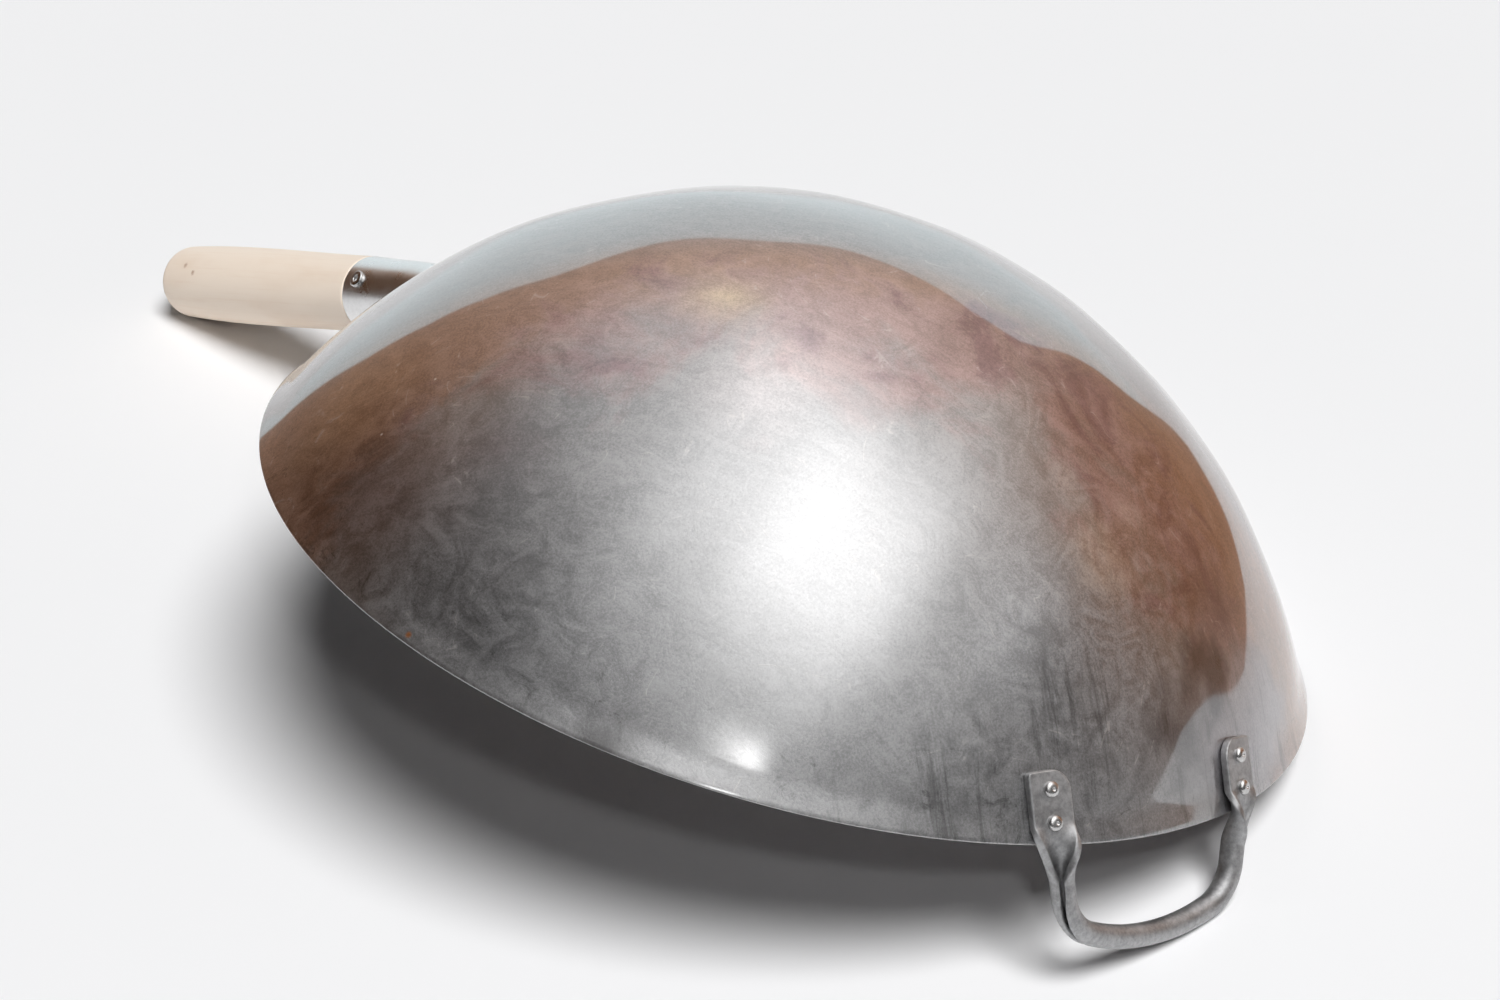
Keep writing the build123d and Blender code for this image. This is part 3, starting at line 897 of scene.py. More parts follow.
@dataclass(frozen=True)
class LongHandle:
    """The socket with its pressed neck and tang, the turned grip in it, and the hollow rivet through both.

    The shoulder and the middle of the neck each have a distance behind the socket's root, a half-width and a
    half-height. The places where the neck passes the rim and where it ends have a half-width and a
    half-height. The grip's middle and swell each have a share of its length and a radius.
    """

    wall: Wall = Wall()
    azimuth: float = 180.0
    slope: float = 23.2
    mouth_distance: float = 0.2521
    mouth_rise: float = 0.0289
    mouth_radius: float = 0.0147
    root_radius: float = 0.0134
    socket_wall: float = 0.0015
    straight_length: float = 0.036
    shoulder: Triple = (0.008, 0.0135, 0.0126)
    middle: Triple = (0.024, 0.0152, 0.0092)
    rim_size: Pair = (0.018, 0.0034)
    rim_slope: float = 44.0
    rim_gap: float = 0.0012
    foot_size: Pair = (0.019, 0.0015)
    foot_drop: float = 0.014
    tang_thickness: float = 0.0024
    tang_top_drop: float = 0.0035
    tang_height: float = 0.050
    tang_top_width: float = 0.044
    tang_tip_width: float = 0.026
    tang_corner: float = 0.007
    grip_length: float = 0.141
    grip_middle: Pair = (0.45, 0.0154)
    grip_swell: Pair = (0.78, 0.0153)
    grip_end_radius: float = 0.0146
    grip_end_round: float = 0.009
    grip_end_crown: float = 0.002
    mouth_edge: float = 0.0003
    rivet_gap: float = 0.0081
    rivet_turn: float = 26.6
    rivet_bore: float = 0.0012
    rivet_head_radius: float = 0.0033
    rivet_head_height: float = 0.0012
    rivet_shank_radius: float = 0.002
    rivet_sink: float = 0.0002
    rivet_mouth_round: float = 0.0005
    rivet_head_round: float = 0.0007
    rivet_steps: int = 6
    rivet_sides: int = 64
    tenon_length: float = 0.032
    tenon_taper: float = 0.0013
    tenon_room: float = 0.0001
    grip_start: float = 0.0015
    grip_end_turn: float = 75.0
    grip_steps: int = 40
    grip_end_steps: int = 14
    neck_steps: int = 120
    tang_steps: int = 60
    tang_columns: int = 33
    sides: int = 128
    sharp: float = 50.0

    @property
    def out(self) -> np.ndarray:
        """Direction along the handle, away from the bowl."""
        return np.array([-cos(self.slope), 0.0, sin(self.slope)])

    @property
    def up(self) -> np.ndarray:
        """Direction across the handle, towards the bowl's opening side."""
        return np.array([sin(self.slope), 0.0, cos(self.slope)])

    @property
    def mouth(self) -> np.ndarray:
        """Middle of the socket's mouth."""
        return np.array([-self.mouth_distance, 0.0, self.wall.depth + self.mouth_rise])

    def basis(self) -> np.ndarray:
        """Rows that carry a turned shape's X, Y and Z to the handle: sideways, up and out."""
        return np.array([np.cross(self.up, self.out), self.up, self.out])

    def socket_radius(self, depth: np.ndarray | float) -> np.ndarray | float:
        """Outer radius of the straight socket at a depth behind its mouth."""
        return self.mouth_radius + (self.root_radius - self.mouth_radius) * depth / self.straight_length

    def stations(self) -> np.ndarray:
        """The socket's sections from the mouth to the foot, blended from a few along the neck.

        Returns:
            Rows of centre, slope, half-width and half-height, by a smooth cubic through the given sections.
        """
        root = self.mouth - self.out * self.straight_length
        rim = self.wall.point(0.0, self.azimuth, self.rim_size[1] + self.rim_gap)
        foot = self.wall.point(self.foot_drop, self.azimuth, self.foot_size[1])
        foot_slope = float(self.wall.at(self.foot_drop)[2])
        rows = [
            [*self.mouth, self.slope, self.mouth_radius, self.mouth_radius],
            [*(self.mouth + root) / 2.0, self.slope, *([self.socket_radius(self.straight_length / 2.0)] * 2)],
            [*root, self.slope, self.root_radius, self.root_radius],
            [*(root - self.out * self.shoulder[0]), self.slope, *self.shoulder[1:]],
            [*(root - self.out * self.middle[0]), self.slope, *self.middle[1:]],
            [*rim, self.rim_slope, *self.rim_size],
            [*foot, foot_slope, *self.foot_size],
        ]
        knots = np.array(rows)
        length = np.concatenate([[0.0], np.cumsum(np.linalg.norm(np.diff(knots[:, :3], axis=0), axis=1))])
        slopes = np.gradient(knots, length, axis=0)
        slopes[0] = (knots[1] - knots[0]) / (length[1] - length[0])
        place = np.linspace(0.0, length[-1], self.neck_steps)
        piece = np.clip(np.searchsorted(length, place, side="right") - 1, 0, len(length) - 2)
        step = (length[piece + 1] - length[piece])[:, None]
        share = (place - length[piece])[:, None] / step
        first, last = knots[piece], knots[piece + 1]
        entry, leave = slopes[piece] * step, slopes[piece + 1] * step
        ease = smooth(share)
        swing = (1.0 - share) * entry - share * leave
        return first * (1.0 - ease) + last * ease + share * (1.0 - share) * swing

    def rings(self, stations: np.ndarray, inset: float = 0.0) -> np.ndarray:
        """Ellipses at each station, square to its slope: cosine of the half-width, sine of the half-height.

        Args:
            stations: Centre, slope, half-width and half-height of each.
            inset: How far the ellipses are drawn in.

        Returns:
            Upright points by station and by place round it.
        """
        centre, slope = stations[:, None, :3], stations[:, 3]
        turn = np.linspace(0.0, FULL_TURN, self.sides, endpoint=False)
        high = np.stack([sin(slope), np.zeros_like(slope), cos(slope)], axis=-1)[:, None]
        wide = (stations[:, 4:5] - inset) * cos(turn)
        tall = (stations[:, 5:6] - inset) * sin(turn)
        return centre + SIDEWAYS * wide[..., None] + high * tall[..., None]

    def tang(self) -> np.ndarray:
        """The shield plate on the wall, as one grid round its thickness.

        Rows run down the plate. Its half-width falls evenly from top to tip, less the inset of the corners
        near both ends.

        Returns:
            Upright points by row and by place round the plate.
        """
        crowd = (1.0 - cos(np.linspace(0.0, HALF_TURN, self.tang_steps))) / 2.0
        down = crowd * self.tang_height
        inset = corner_inset(np.minimum(down, self.tang_height - down), self.tang_corner)
        half = (self.tang_top_width + (self.tang_tip_width - self.tang_top_width) * crowd) / 2.0 - inset
        span = np.linspace(-1.0, 1.0, self.tang_columns)
        drop = self.tang_top_drop + down
        azimuth = self.azimuth + np.degrees(np.arcsin(half[:, None] * span / self.wall.at(drop)[0][:, None]))
        drops = np.broadcast_to(drop[:, None], azimuth.shape)
        face = self.wall.point(drops, azimuth, self.tang_thickness)
        seat = self.wall.point(drops, azimuth, SEAT_GAP)
        return np.concatenate([face, seat[:, ::-1]], axis=1)

    def build_socket(self, upright: UprightFrame) -> bpy.types.Object:
        """Make the socket, neck and tang.

        Args:
            upright: Where the upright wok lies.

        Returns:
            The socket's object.
        """
        stations = self.stations()
        outer = self.wall.clear(self.rings(stations))
        bore = stations[stations[:, 4] > self.root_radius + WELD_REACH]
        inner = self.rings(bore[: len(bore) // 2], self.socket_wall)
        edge = self.rings(stations[:1], self.mouth_edge)
        first = outer[0] - self.out * self.mouth_edge
        piece = Piece("handle_socket_shell", upright)
        shell = np.concatenate([inner[::-1], edge, first[None], outer[1:]])
        piece.grid(shell, wrap=True)
        for ring in (shell[0], shell[-1]):
            piece.grid(np.stack([ring, np.broadcast_to(ring.mean(axis=0), ring.shape)]), wrap=True)
        plate = self.tang()
        piece.grid(plate, wrap=True)
        for row in (plate[0], plate[-1]):
            half = len(row) // 2
            piece.grid(np.stack([row[:half], row[half:][::-1]]))
        return piece.build(Slot.HANDLE, ("handle_socket",), self.sharp)

    def grip_profile(self) -> np.ndarray:
        """Radius and distance past the mouth, from the tenon's end round to the butt's middle.

        Returns:
            The outline's points: a tapered tenon, a body by a cubic through four places, an arc at the butt's
            edge, and a crown whose rise is one less the square of the share left.
        """
        end = self.grip_length - self.grip_end_crown - self.grip_end_round
        knots = np.array([
            (0.0, self.mouth_radius),
            (self.grip_middle[0] * self.grip_length, self.grip_middle[1]),
            (self.grip_swell[0] * self.grip_length, self.grip_swell[1]),
            (end, self.grip_end_radius),
        ])
        along = np.linspace(self.grip_start, end, self.grip_steps)
        fit = np.polyfit(knots[:, 0], knots[:, 1], 3)
        body = np.stack([np.polyval(fit, along), along], axis=1)
        turn = np.linspace(0.0, self.grip_end_turn, self.grip_end_steps)[1:]
        corner = np.stack([
            self.grip_end_radius - self.grip_end_round * (1.0 - cos(turn)),
            end + self.grip_end_round * sin(turn),
        ], axis=1)
        share = np.linspace(0.0, 1.0, self.grip_end_steps)[1:]
        crown_rise = self.grip_length - corner[-1, 1]
        crown = np.stack([
            corner[-1, 0] * (1.0 - share),
            corner[-1, 1] + crown_rise * (1.0 - (1.0 - share) ** 2),
        ], axis=1)
        bore = self.mouth_radius - self.socket_wall
        start = np.array([
            (0.0, -self.tenon_length),
            (bore - self.tenon_taper, -self.tenon_length),
            (bore - self.tenon_room, 0.0),
            (self.mouth_radius - self.mouth_edge, 0.0),
            (self.mouth_radius, self.mouth_edge),
        ])
        return np.concatenate([start, body, corner, crown])

    def build_grip(self, upright: UprightFrame) -> bpy.types.Object:
        """Make the turned grip with its tenon.

        Args:
            upright: Where the upright wok lies.

        Returns:
            The grip's object.
        """
        piece = Piece("grip_turning", upright)
        piece.grid(turned(self.grip_profile(), self.sides) @ self.basis() + self.mouth, wrap=True)
        return piece.build(Slot.WOOD, ("grip",), self.sharp)

    def build_grip_rivet(self, upright: UprightFrame) -> bpy.types.Object:
        """Make the hollow rivet: a closed ring outline of bore, rolled heads and shank.

        Args:
            upright: Where the upright wok lies.

        Returns:
            The rivet's object.
        """
        seat = float(self.socket_radius(self.rivet_gap)) - self.rivet_sink
        top = seat + self.rivet_head_height + self.rivet_sink
        half = [
            (self.rivet_bore, 0.0),
            (self.rivet_bore, top),
            (self.rivet_head_radius, top),
            (self.rivet_head_radius, seat),
            (self.rivet_shank_radius, seat),
            (self.rivet_shank_radius, 0.0),
        ]
        radii = [0.0, self.rivet_mouth_round, self.rivet_head_round, 0.0, 0.0, 0.0]
        side = rounded(half, radii, self.rivet_steps)
        ring = np.concatenate([side, (side * np.array([1.0, -1.0]))[::-1]])
        axis = SIDEWAYS * cos(self.rivet_turn) - self.up * sin(self.rivet_turn)
        basis = np.array([self.out, np.cross(axis, self.out), axis])
        surface = turned(ring, self.rivet_sides) @ basis + self.mouth - self.out * self.rivet_gap
        piece = Piece("grip_rivet_tube", upright)
        piece.grid(np.concatenate([surface, surface[:1]]), wrap=True)
        return piece.build(Slot.GRIP_RIVET, ("grip_rivet",), self.sharp)


@dataclass(frozen=True)
class Riveting:
    """The rivets that hold both handles to the bowl, and where they sit."""

    helper: HelperHandle
    handle: LongHandle
    small: Rivet = Rivet(
        shank_radius=0.0016,
        head_radius=0.0025,
        head_height=0.0017,
        dimple_radius=0.0007,
        dimple_depth=0.00045,
        tail_radius=0.0029,
        tail_height=0.0009,
    )
    large: Rivet = Rivet(
        shank_radius=0.0022,
        head_radius=0.0042,
        head_height=0.0022,
        dimple_radius=0.0010,
        dimple_depth=0.0006,
        tail_radius=0.0040,
        tail_height=0.0012,
    )
    room: float = 0.0001
    pad_rows: tuple[tuple[str, float], ...] = (("upper", 0.0164), ("lower", 0.0066))
    tang_places: tuple[tuple[str, float, float], ...] = (
        ("left", 0.020, 0.013),
        ("right", 0.020, -0.013),
        ("tip", 0.042, 0.0),
    )

    def pads(self, upright: UprightFrame) -> list[bpy.types.Object]:
        """Make the four rivets of the helper handle, the right pad's as mirror images of the left pad's.

        Args:
            upright: Where the upright wok lies.

        Returns:
            The rivets' objects.
        """
        helper = self.helper
        middle, up, normal = helper.pad_frame()
        stack = helper.thickness + helper.wall.thickness + self.room
        rivets = []
        for row, drop in self.pad_rows:
            seat = middle + up * (helper.pad_middle - drop) + normal * helper.thickness
            for side, sign in (("left", 1.0), ("right", -1.0)):
                flip = np.array([1.0, sign, 1.0])
                name = f"helper_rivet_{side}_{row}"
                rivets.append(self.small.build(name, upright, seat * flip, normal * flip, stack))
        return rivets

    def tang(self, upright: UprightFrame) -> list[bpy.types.Object]:
        """Make the three rivets of the tang, each at its drop below the rim and its place across.

        Args:
            upright: Where the upright wok lies.

        Returns:
            The rivets' objects.
        """
        wall, thickness = self.handle.wall, self.handle.tang_thickness
        stack = thickness + wall.thickness + self.room
        rivets = []
        for side, drop, across in self.tang_places:
            turn = math.degrees(math.asin(across / float(wall.at(drop)[0])))
            azimuth = self.handle.azimuth + turn
            seat = wall.point(drop, azimuth, thickness)
            axis = wall.normal(drop, azimuth)
            rivets.append(self.large.build(f"tang_rivet_{side}", upright, seat, axis, stack))
        return rivets


class Ramp(NamedTuple):
    """A range of values, and the range that it is carried to."""

    low: float
    high: float
    bottom: float = 0.0
    top: float = 1.0


@dataclass(frozen=True)
class Noise:
    """Fractal noise: its scale per metre, its octaves, how much each one keeps, and its distortion."""

    scale: float
    detail: float = 3.0
    rough: float = 0.55
    distortion: float = 0.0


class Nodes:
    """The node tree of a material or a world, with short calls for the nodes that the finishes use."""

    def __init__(self, owner: bpy.types.Material | bpy.types.World) -> None:
        """Empty the owner's tree.

        Args:
            owner: The material or world.
        """
        owner.use_nodes = True
        self.owner = owner
        self.tree = owner.node_tree
        self.tree.nodes.clear()

    @classmethod
    def of_material(cls, name: str) -> "Nodes":
        """Nodes of a new material."""
        return cls(bpy.data.materials.new(name))

    def add(self, kind: str, inputs: dict[str | int, Value] | None = None, **settings: str) -> bpy.types.Node:
        """Add a node, set its settings, and set or link its inputs.

        Args:
            kind: The node's type name.
            inputs: Values or output sockets by input name or number.
            settings: Attributes of the node.

        Returns:
            The node.
        """
        node = self.tree.nodes.new(kind)
        for name, value in settings.items():
            setattr(node, name, value)
        for name, value in (inputs or {}).items():
            if isinstance(value, Socket):
                self.tree.links.new(value, node.inputs[name])
            else:
                node.inputs[name].default_value = value
        return node

    def place(self, upright: UprightFrame) -> Socket:
        """Upright coordinates of the shaded point, in metres, from its Object coordinates.

        Args:
            upright: Where the upright wok lies.

        Returns:
            The coordinates.
        """
        turn = Matrix(upright.axes.tolist())
        shift = Vector((-(upright.axes @ upright.origin)).tolist())
        mapping = self.add("ShaderNodeMapping", {"Location": shift, "Rotation": turn.to_euler()})
        coordinates = self.add("ShaderNodeTexCoord")
        self.tree.links.new(coordinates.outputs["Object"], mapping.inputs["Vector"])
        return mapping.outputs["Vector"]

    def stretch(self, vector: Socket, scale: Triple, turn: Triple = (0.0, 0.0, 0.0)) -> Socket:
        """Turn a vector, then scale it along each axis.

        Args:
            vector: The vector.
            scale: Factor along each axis.
            turn: Angle about each axis.

        Returns:
            The new vector.
        """
        angles = tuple(math.radians(angle) for angle in turn)
        swung = self.add("ShaderNodeMapping", {"Vector": vector, "Rotation": angles}).outputs[0]
        return self.add("ShaderNodeMapping", {"Vector": swung, "Scale": scale}).outputs[0]

    def noise(self, vector: Socket, noise: Noise) -> Socket:
        """Fractal noise at a vector, of about 0.2 to 0.8.

        Args:
            vector: Where the noise is read.
            noise: Its scale and character.

        Returns:
            The value.
        """
        inputs = {
            "Vector": vector,
            "Scale": noise.scale,
            "Detail": noise.detail,
            "Roughness": noise.rough,
            "Distortion": noise.distortion,
        }
        return self.add("ShaderNodeTexNoise", inputs).outputs["Fac"]

    def math(self, operation: str, first: Value, second: Value = 0.0, third: Value = 0.0) -> Socket:
        """One arithmetic step."""
        return self.add("ShaderNodeMath", {0: first, 1: second, 2: third}, operation=operation).outputs[0]

    def ramp(self, value: Socket, ramp: Ramp) -> Socket:
        """Carry a value smoothly from a range to another, and hold it past both ends.

        Args:
            value: The value.
            ramp: Both ranges.

        Returns:
            The new value.
        """
        inputs = {
            "Value": value,
            "From Min": ramp.low,
            "From Max": ramp.high,
            "To Min": ramp.bottom,
            "To Max": ramp.top,
        }
        return self.add("ShaderNodeMapRange", inputs, interpolation_type="SMOOTHSTEP").outputs[0]

    def mix(self, share: Value, first: Value, second: Value, blend: str = "MIX") -> Socket:
        """Mix two colours.

        Args:
            share: How much of the second colour there is.
            first: The first colour.
            second: The second colour.
            blend: How the second one is laid over the first.

        Returns:
            The mixed colour.
        """
        node = self.add("ShaderNodeMix", data_type="RGBA", blend_type=blend)
        for socket, value in (("Factor_Float", share), ("A_Color", first), ("B_Color", second)):
            target = next(entry for entry in node.inputs if entry.identifier == socket)
            if isinstance(value, Socket):
                self.tree.links.new(value, target)
            else:
                target.default_value = value
        return next(entry for entry in node.outputs if entry.identifier == "Result_Color")

    def dot(self, vector: Socket, way: Triple) -> Socket:
        """How far a vector goes along a direction."""
        return self.add("ShaderNodeVectorMath", {0: vector, 1: way}, operation="DOT_PRODUCT").outputs["Value"]

    def grey(self, value: Socket) -> Socket:
        """A colour whose three parts are one value."""
        return self.add("ShaderNodeCombineColor", {0: value, 1: value, 2: value}).outputs[0]

    def bent(self, vector: Socket, noise: Noise, reach: float) -> Socket:
        """Push a vector about by noise, which makes round spots ragged.

        Args:
            vector: The vector.
            noise: Scale and octaves of the push.
            reach: How far it goes for a whole step of the noise.

        Returns:
            The vector plus the reach times the noise's colour less middle grey.
        """
        inputs = {"Vector": vector, "Scale": noise.scale, "Detail": noise.detail}
        colour = self.add("ShaderNodeTexNoise", inputs).outputs["Color"]
        push = self.add("ShaderNodeVectorMath", {0: colour, 1: MIDDLE_GREY}, operation="SUBTRACT").outputs[0]
        scaled = self.add("ShaderNodeVectorMath", {0: push, "Scale": reach}, operation="SCALE").outputs[0]
        return self.add("ShaderNodeVectorMath", {0: vector, 1: scaled}, operation="ADD").outputs[0]

    def part(self, vector: Socket, axis: str) -> Socket:
        """One coordinate of a vector."""
        return self.add("ShaderNodeSeparateXYZ", {0: vector}).outputs[axis]

    def near(self, vector: Socket, point: Triple, radius: float, soft: float) -> Socket:
        """One inside a radius of a point, falling to zero over a soft edge."""
        away = self.add("ShaderNodeVectorMath", {0: vector, 1: point}, operation="DISTANCE").outputs["Value"]
        return self.ramp(away, Ramp(radius + soft, radius - soft))

    def finish(self, inputs: dict[str, Value], bumps: list[Bump]) -> bpy.types.Material:
        """Close the tree with the shader and a chain of bumps.

        Args:
            inputs: Values or sockets of the shader.
            bumps: Height, strength and distance of each bump.

        Returns:
            The material.
        """
        normal: dict[str, Socket] = {}
        for height, strength, distance in bumps:
            values = {"Height": height, "Strength": strength, "Distance": distance} | normal
            normal = {"Normal": self.add("ShaderNodeBump", values).outputs[0]}
        shader = self.add("ShaderNodeBsdfPrincipled", inputs | normal)
        output = self.add("ShaderNodeOutputMaterial")
        self.tree.links.new(shader.outputs[0], output.inputs[0])
        return self.owner


def linear(value: float) -> float:
    """One part of a display colour of 0 to 255 as linear light, by the standard curve of displays.

    Args:
        value: The part.

    Returns:
        A straight line near black, and elsewhere a power of the share plus an offset.
    """
    share = value / DISPLAY_TOP
    if share <= DISPLAY_LINE_END:
        return share / DISPLAY_LINE_SLOPE
    return ((share + DISPLAY_OFFSET) / (1.0 + DISPLAY_OFFSET)) ** DISPLAY_POWER


def rgb(red: float, green: float, blue: float) -> tuple[float, float, float, float]:
    """A display colour of 0 to 255 as linear light."""
    return linear(red), linear(green), linear(blue), 1.0


@dataclass(frozen=True)
class Patch:
    """A coloured place on the bowl's wall, whose edge is soft and pushed about by a ragged reach."""

    drop: float
    azimuth: float
    radius: float
    soft: float
    colour: Triple
    share: float
    ragged: float = 0.024


@dataclass(frozen=True)
class BowlSteel:
    """Seasoned carbon steel: satin metal under a thin, hard, slightly glossy film.

    A way is the upright direction along which a colour sets in, its edge the distances between which it does,
    and its sway how far slow noise moves that edge. A spread is how much of a noise shows, and a band lies
    between two distances below the rim. A bump is a strength and a height.
    """

    wall: Wall = Wall()
    steel: Triple = (162, 162, 163)
    # Partly heat tint and partly painted reflection of the warm room.
    tint_and_reflection: Triple = (176, 154, 152)
    gold: Triple = (172, 148, 134)
    far: Triple = (156, 152, 153)
    mauve: Triple = (140, 112, 118)
    smudge: Triple = (58, 56, 56)
    pale: Triple = (226, 222, 218)
    rough: Ramp = Ramp(0.36, 0.64, 0.40, 0.52)
    film_rough: float = 0.06
    film_ior: float = 2.2
    cloud: Noise = Noise(22.0, 5.0, 0.6, 0.6)
    streak: Noise = Noise(34.0, 4.0, 0.6, 1.0)
    smear: Noise = Noise(85.0, 9.0, 0.72, 1.4)
    fine: Noise = Noise(1400.0, 3.0, 0.8)
    brush: Noise = Noise(60.0, 6.0, 0.75, 1.0)
    brush_stretch: Triple = (1.0, 6.0, 1.0)
    brush_turn: Triple = (0.0, 0.0, 35.0)
    ragged: Noise = Noise(60.0, 4.0)
    speck: Noise = Noise(110.0, 8.0, 0.8, 1.2)
    crease: Noise = Noise(17.0, 2.0, 0.5, 1.8)
    run: Noise = Noise(1.0, 6.0, 0.72, 0.4)
    run_stretch: Triple = (16.0, 170.0, 16.0)
    # The bronze sets in along this way, and its edge runs where the backdrop's reflection begins.
    tint_and_reflection_way: Triple = (0.72, 0.69, 0.0)
    tint_and_reflection_sway: Ramp = Ramp(0.3, 0.7, -0.022, 0.022)
    tint_and_reflection_edge: Ramp = Ramp(0.095, 0.055)
    mauve_spread: Ramp = Ramp(0.48, 0.64, 0.0, 0.8)
    gold_way: Triple = (0.79, 0.614, -0.55)
    gold_sway: Ramp = Ramp(0.3, 0.7, -0.010, 0.010)
    gold_edge: Ramp = Ramp(0.040, 0.018)
    far_way: Triple = (0.79, 0.614, 0.0)
    far_edge: Ramp = Ramp(0.032, 0.008)
    dirt_band: Pair = (0.045, 0.006)
    dirt_spread: Ramp = Ramp(0.56, 0.66, 0.0, 0.5)
    run_side: Ramp = Ramp(0.135, 0.150)
    run_band: Pair = (0.058, 0.036)
    run_spread: Ramp = Ramp(0.51, 0.64, 0.0, 0.46)
    smear_share: float = 0.44
    brush_share: float = 0.16
    fine_share: float = 0.40
    grain_shade: Ramp = Ramp(0.37, 0.63, 0.66, 1.22)
    scratch_level: float = 0.5
    scratch_width: Ramp = Ramp(0.0, 0.005, 1.0, 0.0)
    scratch_spread: Ramp = Ramp(0.50, 0.60)
    scratch_share: float = 0.32
    fine_bump: Pair = (0.16, 0.0002)
    smear_bump: Pair = (0.22, 0.0007)
    brush_bump: Pair = (0.08, 0.0007)
    scratch_bump: Pair = (0.2, 0.0001)
    patches: tuple[Patch, ...] = (
        Patch(0.148, 82.0, 0.008, 0.012, (232, 216, 176), 0.6, 0.012),
        Patch(0.129, 61.0, 0.012, 0.022, (226, 216, 216), 0.5),
        Patch(0.103, 98.0, 0.012, 0.022, (206, 182, 180), 0.5),
        Patch(0.036, 110.0, 0.018, 0.020, (206, 174, 140), 0.6),
        Patch(0.064, 86.0, 0.010, 0.016, (126, 106, 108), 0.5),
        Patch(0.030, 96.0, 0.020, 0.028, (136, 106, 102), 0.5),
        Patch(0.083, 359.0, 0.012, 0.014, (226, 216, 206), 0.65, 0.040),
        Patch(0.112, 2.0, 0.006, 0.008, (206, 198, 198), 0.6),
        Patch(0.055, 341.0, 0.014, 0.012, (116, 96, 96), 0.7),
        Patch(0.058, 9.0, 0.024, 0.020, (186, 189, 192), 0.6),
        Patch(0.022, 336.0, 0.020, 0.010, (160, 157, 162), 0.95),
        Patch(0.020, 346.0, 0.018, 0.010, (156, 153, 158), 0.95),
        # Two dark ragged patches near the right pad: painted dark reflection of the room.
        Patch(0.044, 348.0, 0.011, 0.007, (52, 50, 56), 0.85, 0.040),
        Patch(0.028, 355.0, 0.013, 0.012, (72, 70, 74), 0.75, 0.040),
        Patch(0.003, 57.0, 0.007, 0.007, (62, 60, 60), 0.7, 0.020),
        Patch(0.003, 80.0, 0.0009, 0.0006, (200, 124, 54), 0.9, 0.001),
        # Two tiny white specks: painted glints.
        Patch(0.064, 104.0, 0.0004, 0.0003, (255, 255, 250), 1.0, 0.0),
        Patch(0.041, 102.0, 0.0004, 0.0003, (255, 255, 250), 1.0, 0.0),
    )

    def ground(self, nodes: Nodes, place: Socket, cloud: Socket) -> Socket:
        """Colours that change slowly over the wall: bare steel, bronze, mauve, gold, and the far side.

        Args:
            nodes: The finish's nodes.
            place: Upright coordinates.
            cloud: Slow noise.

        Returns:
            The colour.
        """
        # Painted reflection: the bronze, mauve and gold are partly heat tint and partly the warm room's
        # reflection painted into the colour.
        zone = nodes.math("ADD", nodes.dot(place, self.tint_and_reflection_way), nodes.ramp(cloud, self.tint_and_reflection_sway))
        tint_and_reflection_share = nodes.ramp(zone, self.tint_and_reflection_edge)
        colour = nodes.mix(tint_and_reflection_share, rgb(*self.steel), rgb(*self.tint_and_reflection))
        streak = nodes.noise(place, self.streak)
        mauve = nodes.math("MULTIPLY", tint_and_reflection_share, nodes.ramp(streak, self.mauve_spread))
        colour = nodes.mix(mauve, colour, rgb(*self.mauve))
        edge = nodes.math("ADD", nodes.dot(place, self.gold_way), nodes.ramp(streak, self.gold_sway))
        colour = nodes.mix(nodes.ramp(edge, self.gold_edge), colour, rgb(*self.gold))
        return nodes.mix(nodes.ramp(nodes.dot(place, self.far_way), self.far_edge), colour, rgb(*self.far))

    def marks(self, nodes: Nodes, place: Socket, colour: Socket) -> Socket:
        """The colour with patches, among them painted glints and painted dark reflection, dirt by the rim,
        and dark runs down the wall near the helper handle.

        Args:
            nodes: The finish's nodes.
            place: Upright coordinates.
            colour: The colour so far.

        Returns:
            The marked colour.
        """
        for patch in self.patches:
            spot = tuple(float(part) for part in self.wall.point(patch.drop, patch.azimuth))
            here = nodes.near(nodes.bent(place, self.ragged, patch.ragged), spot, patch.radius, patch.soft)
            colour = nodes.mix(nodes.math("MULTIPLY", here, patch.share), colour, rgb(*patch.colour))
        height = nodes.part(place, "Z")
        low = nodes.ramp(height, self.below_rim(self.dirt_band))
        dirt = nodes.math("MULTIPLY", low, nodes.ramp(nodes.noise(place, self.speck), self.dirt_spread))
        colour = nodes.mix(dirt, colour, rgb(*self.smudge))
        runs = nodes.ramp(nodes.noise(nodes.stretch(place, self.run_stretch), self.run), self.run_spread)
        side = nodes.ramp(nodes.part(place, "X"), self.run_side)
        under = nodes.ramp(height, self.below_rim(self.run_band))
        runs = nodes.math("MULTIPLY", nodes.math("MULTIPLY", under, side), runs)
        return nodes.mix(runs, colour, rgb(*self.smudge))

    def below_rim(self, band: Pair) -> Ramp:
        """The heights of a band that is given by its distances below the rim."""
        return Ramp(self.wall.depth - band[0], self.wall.depth - band[1])

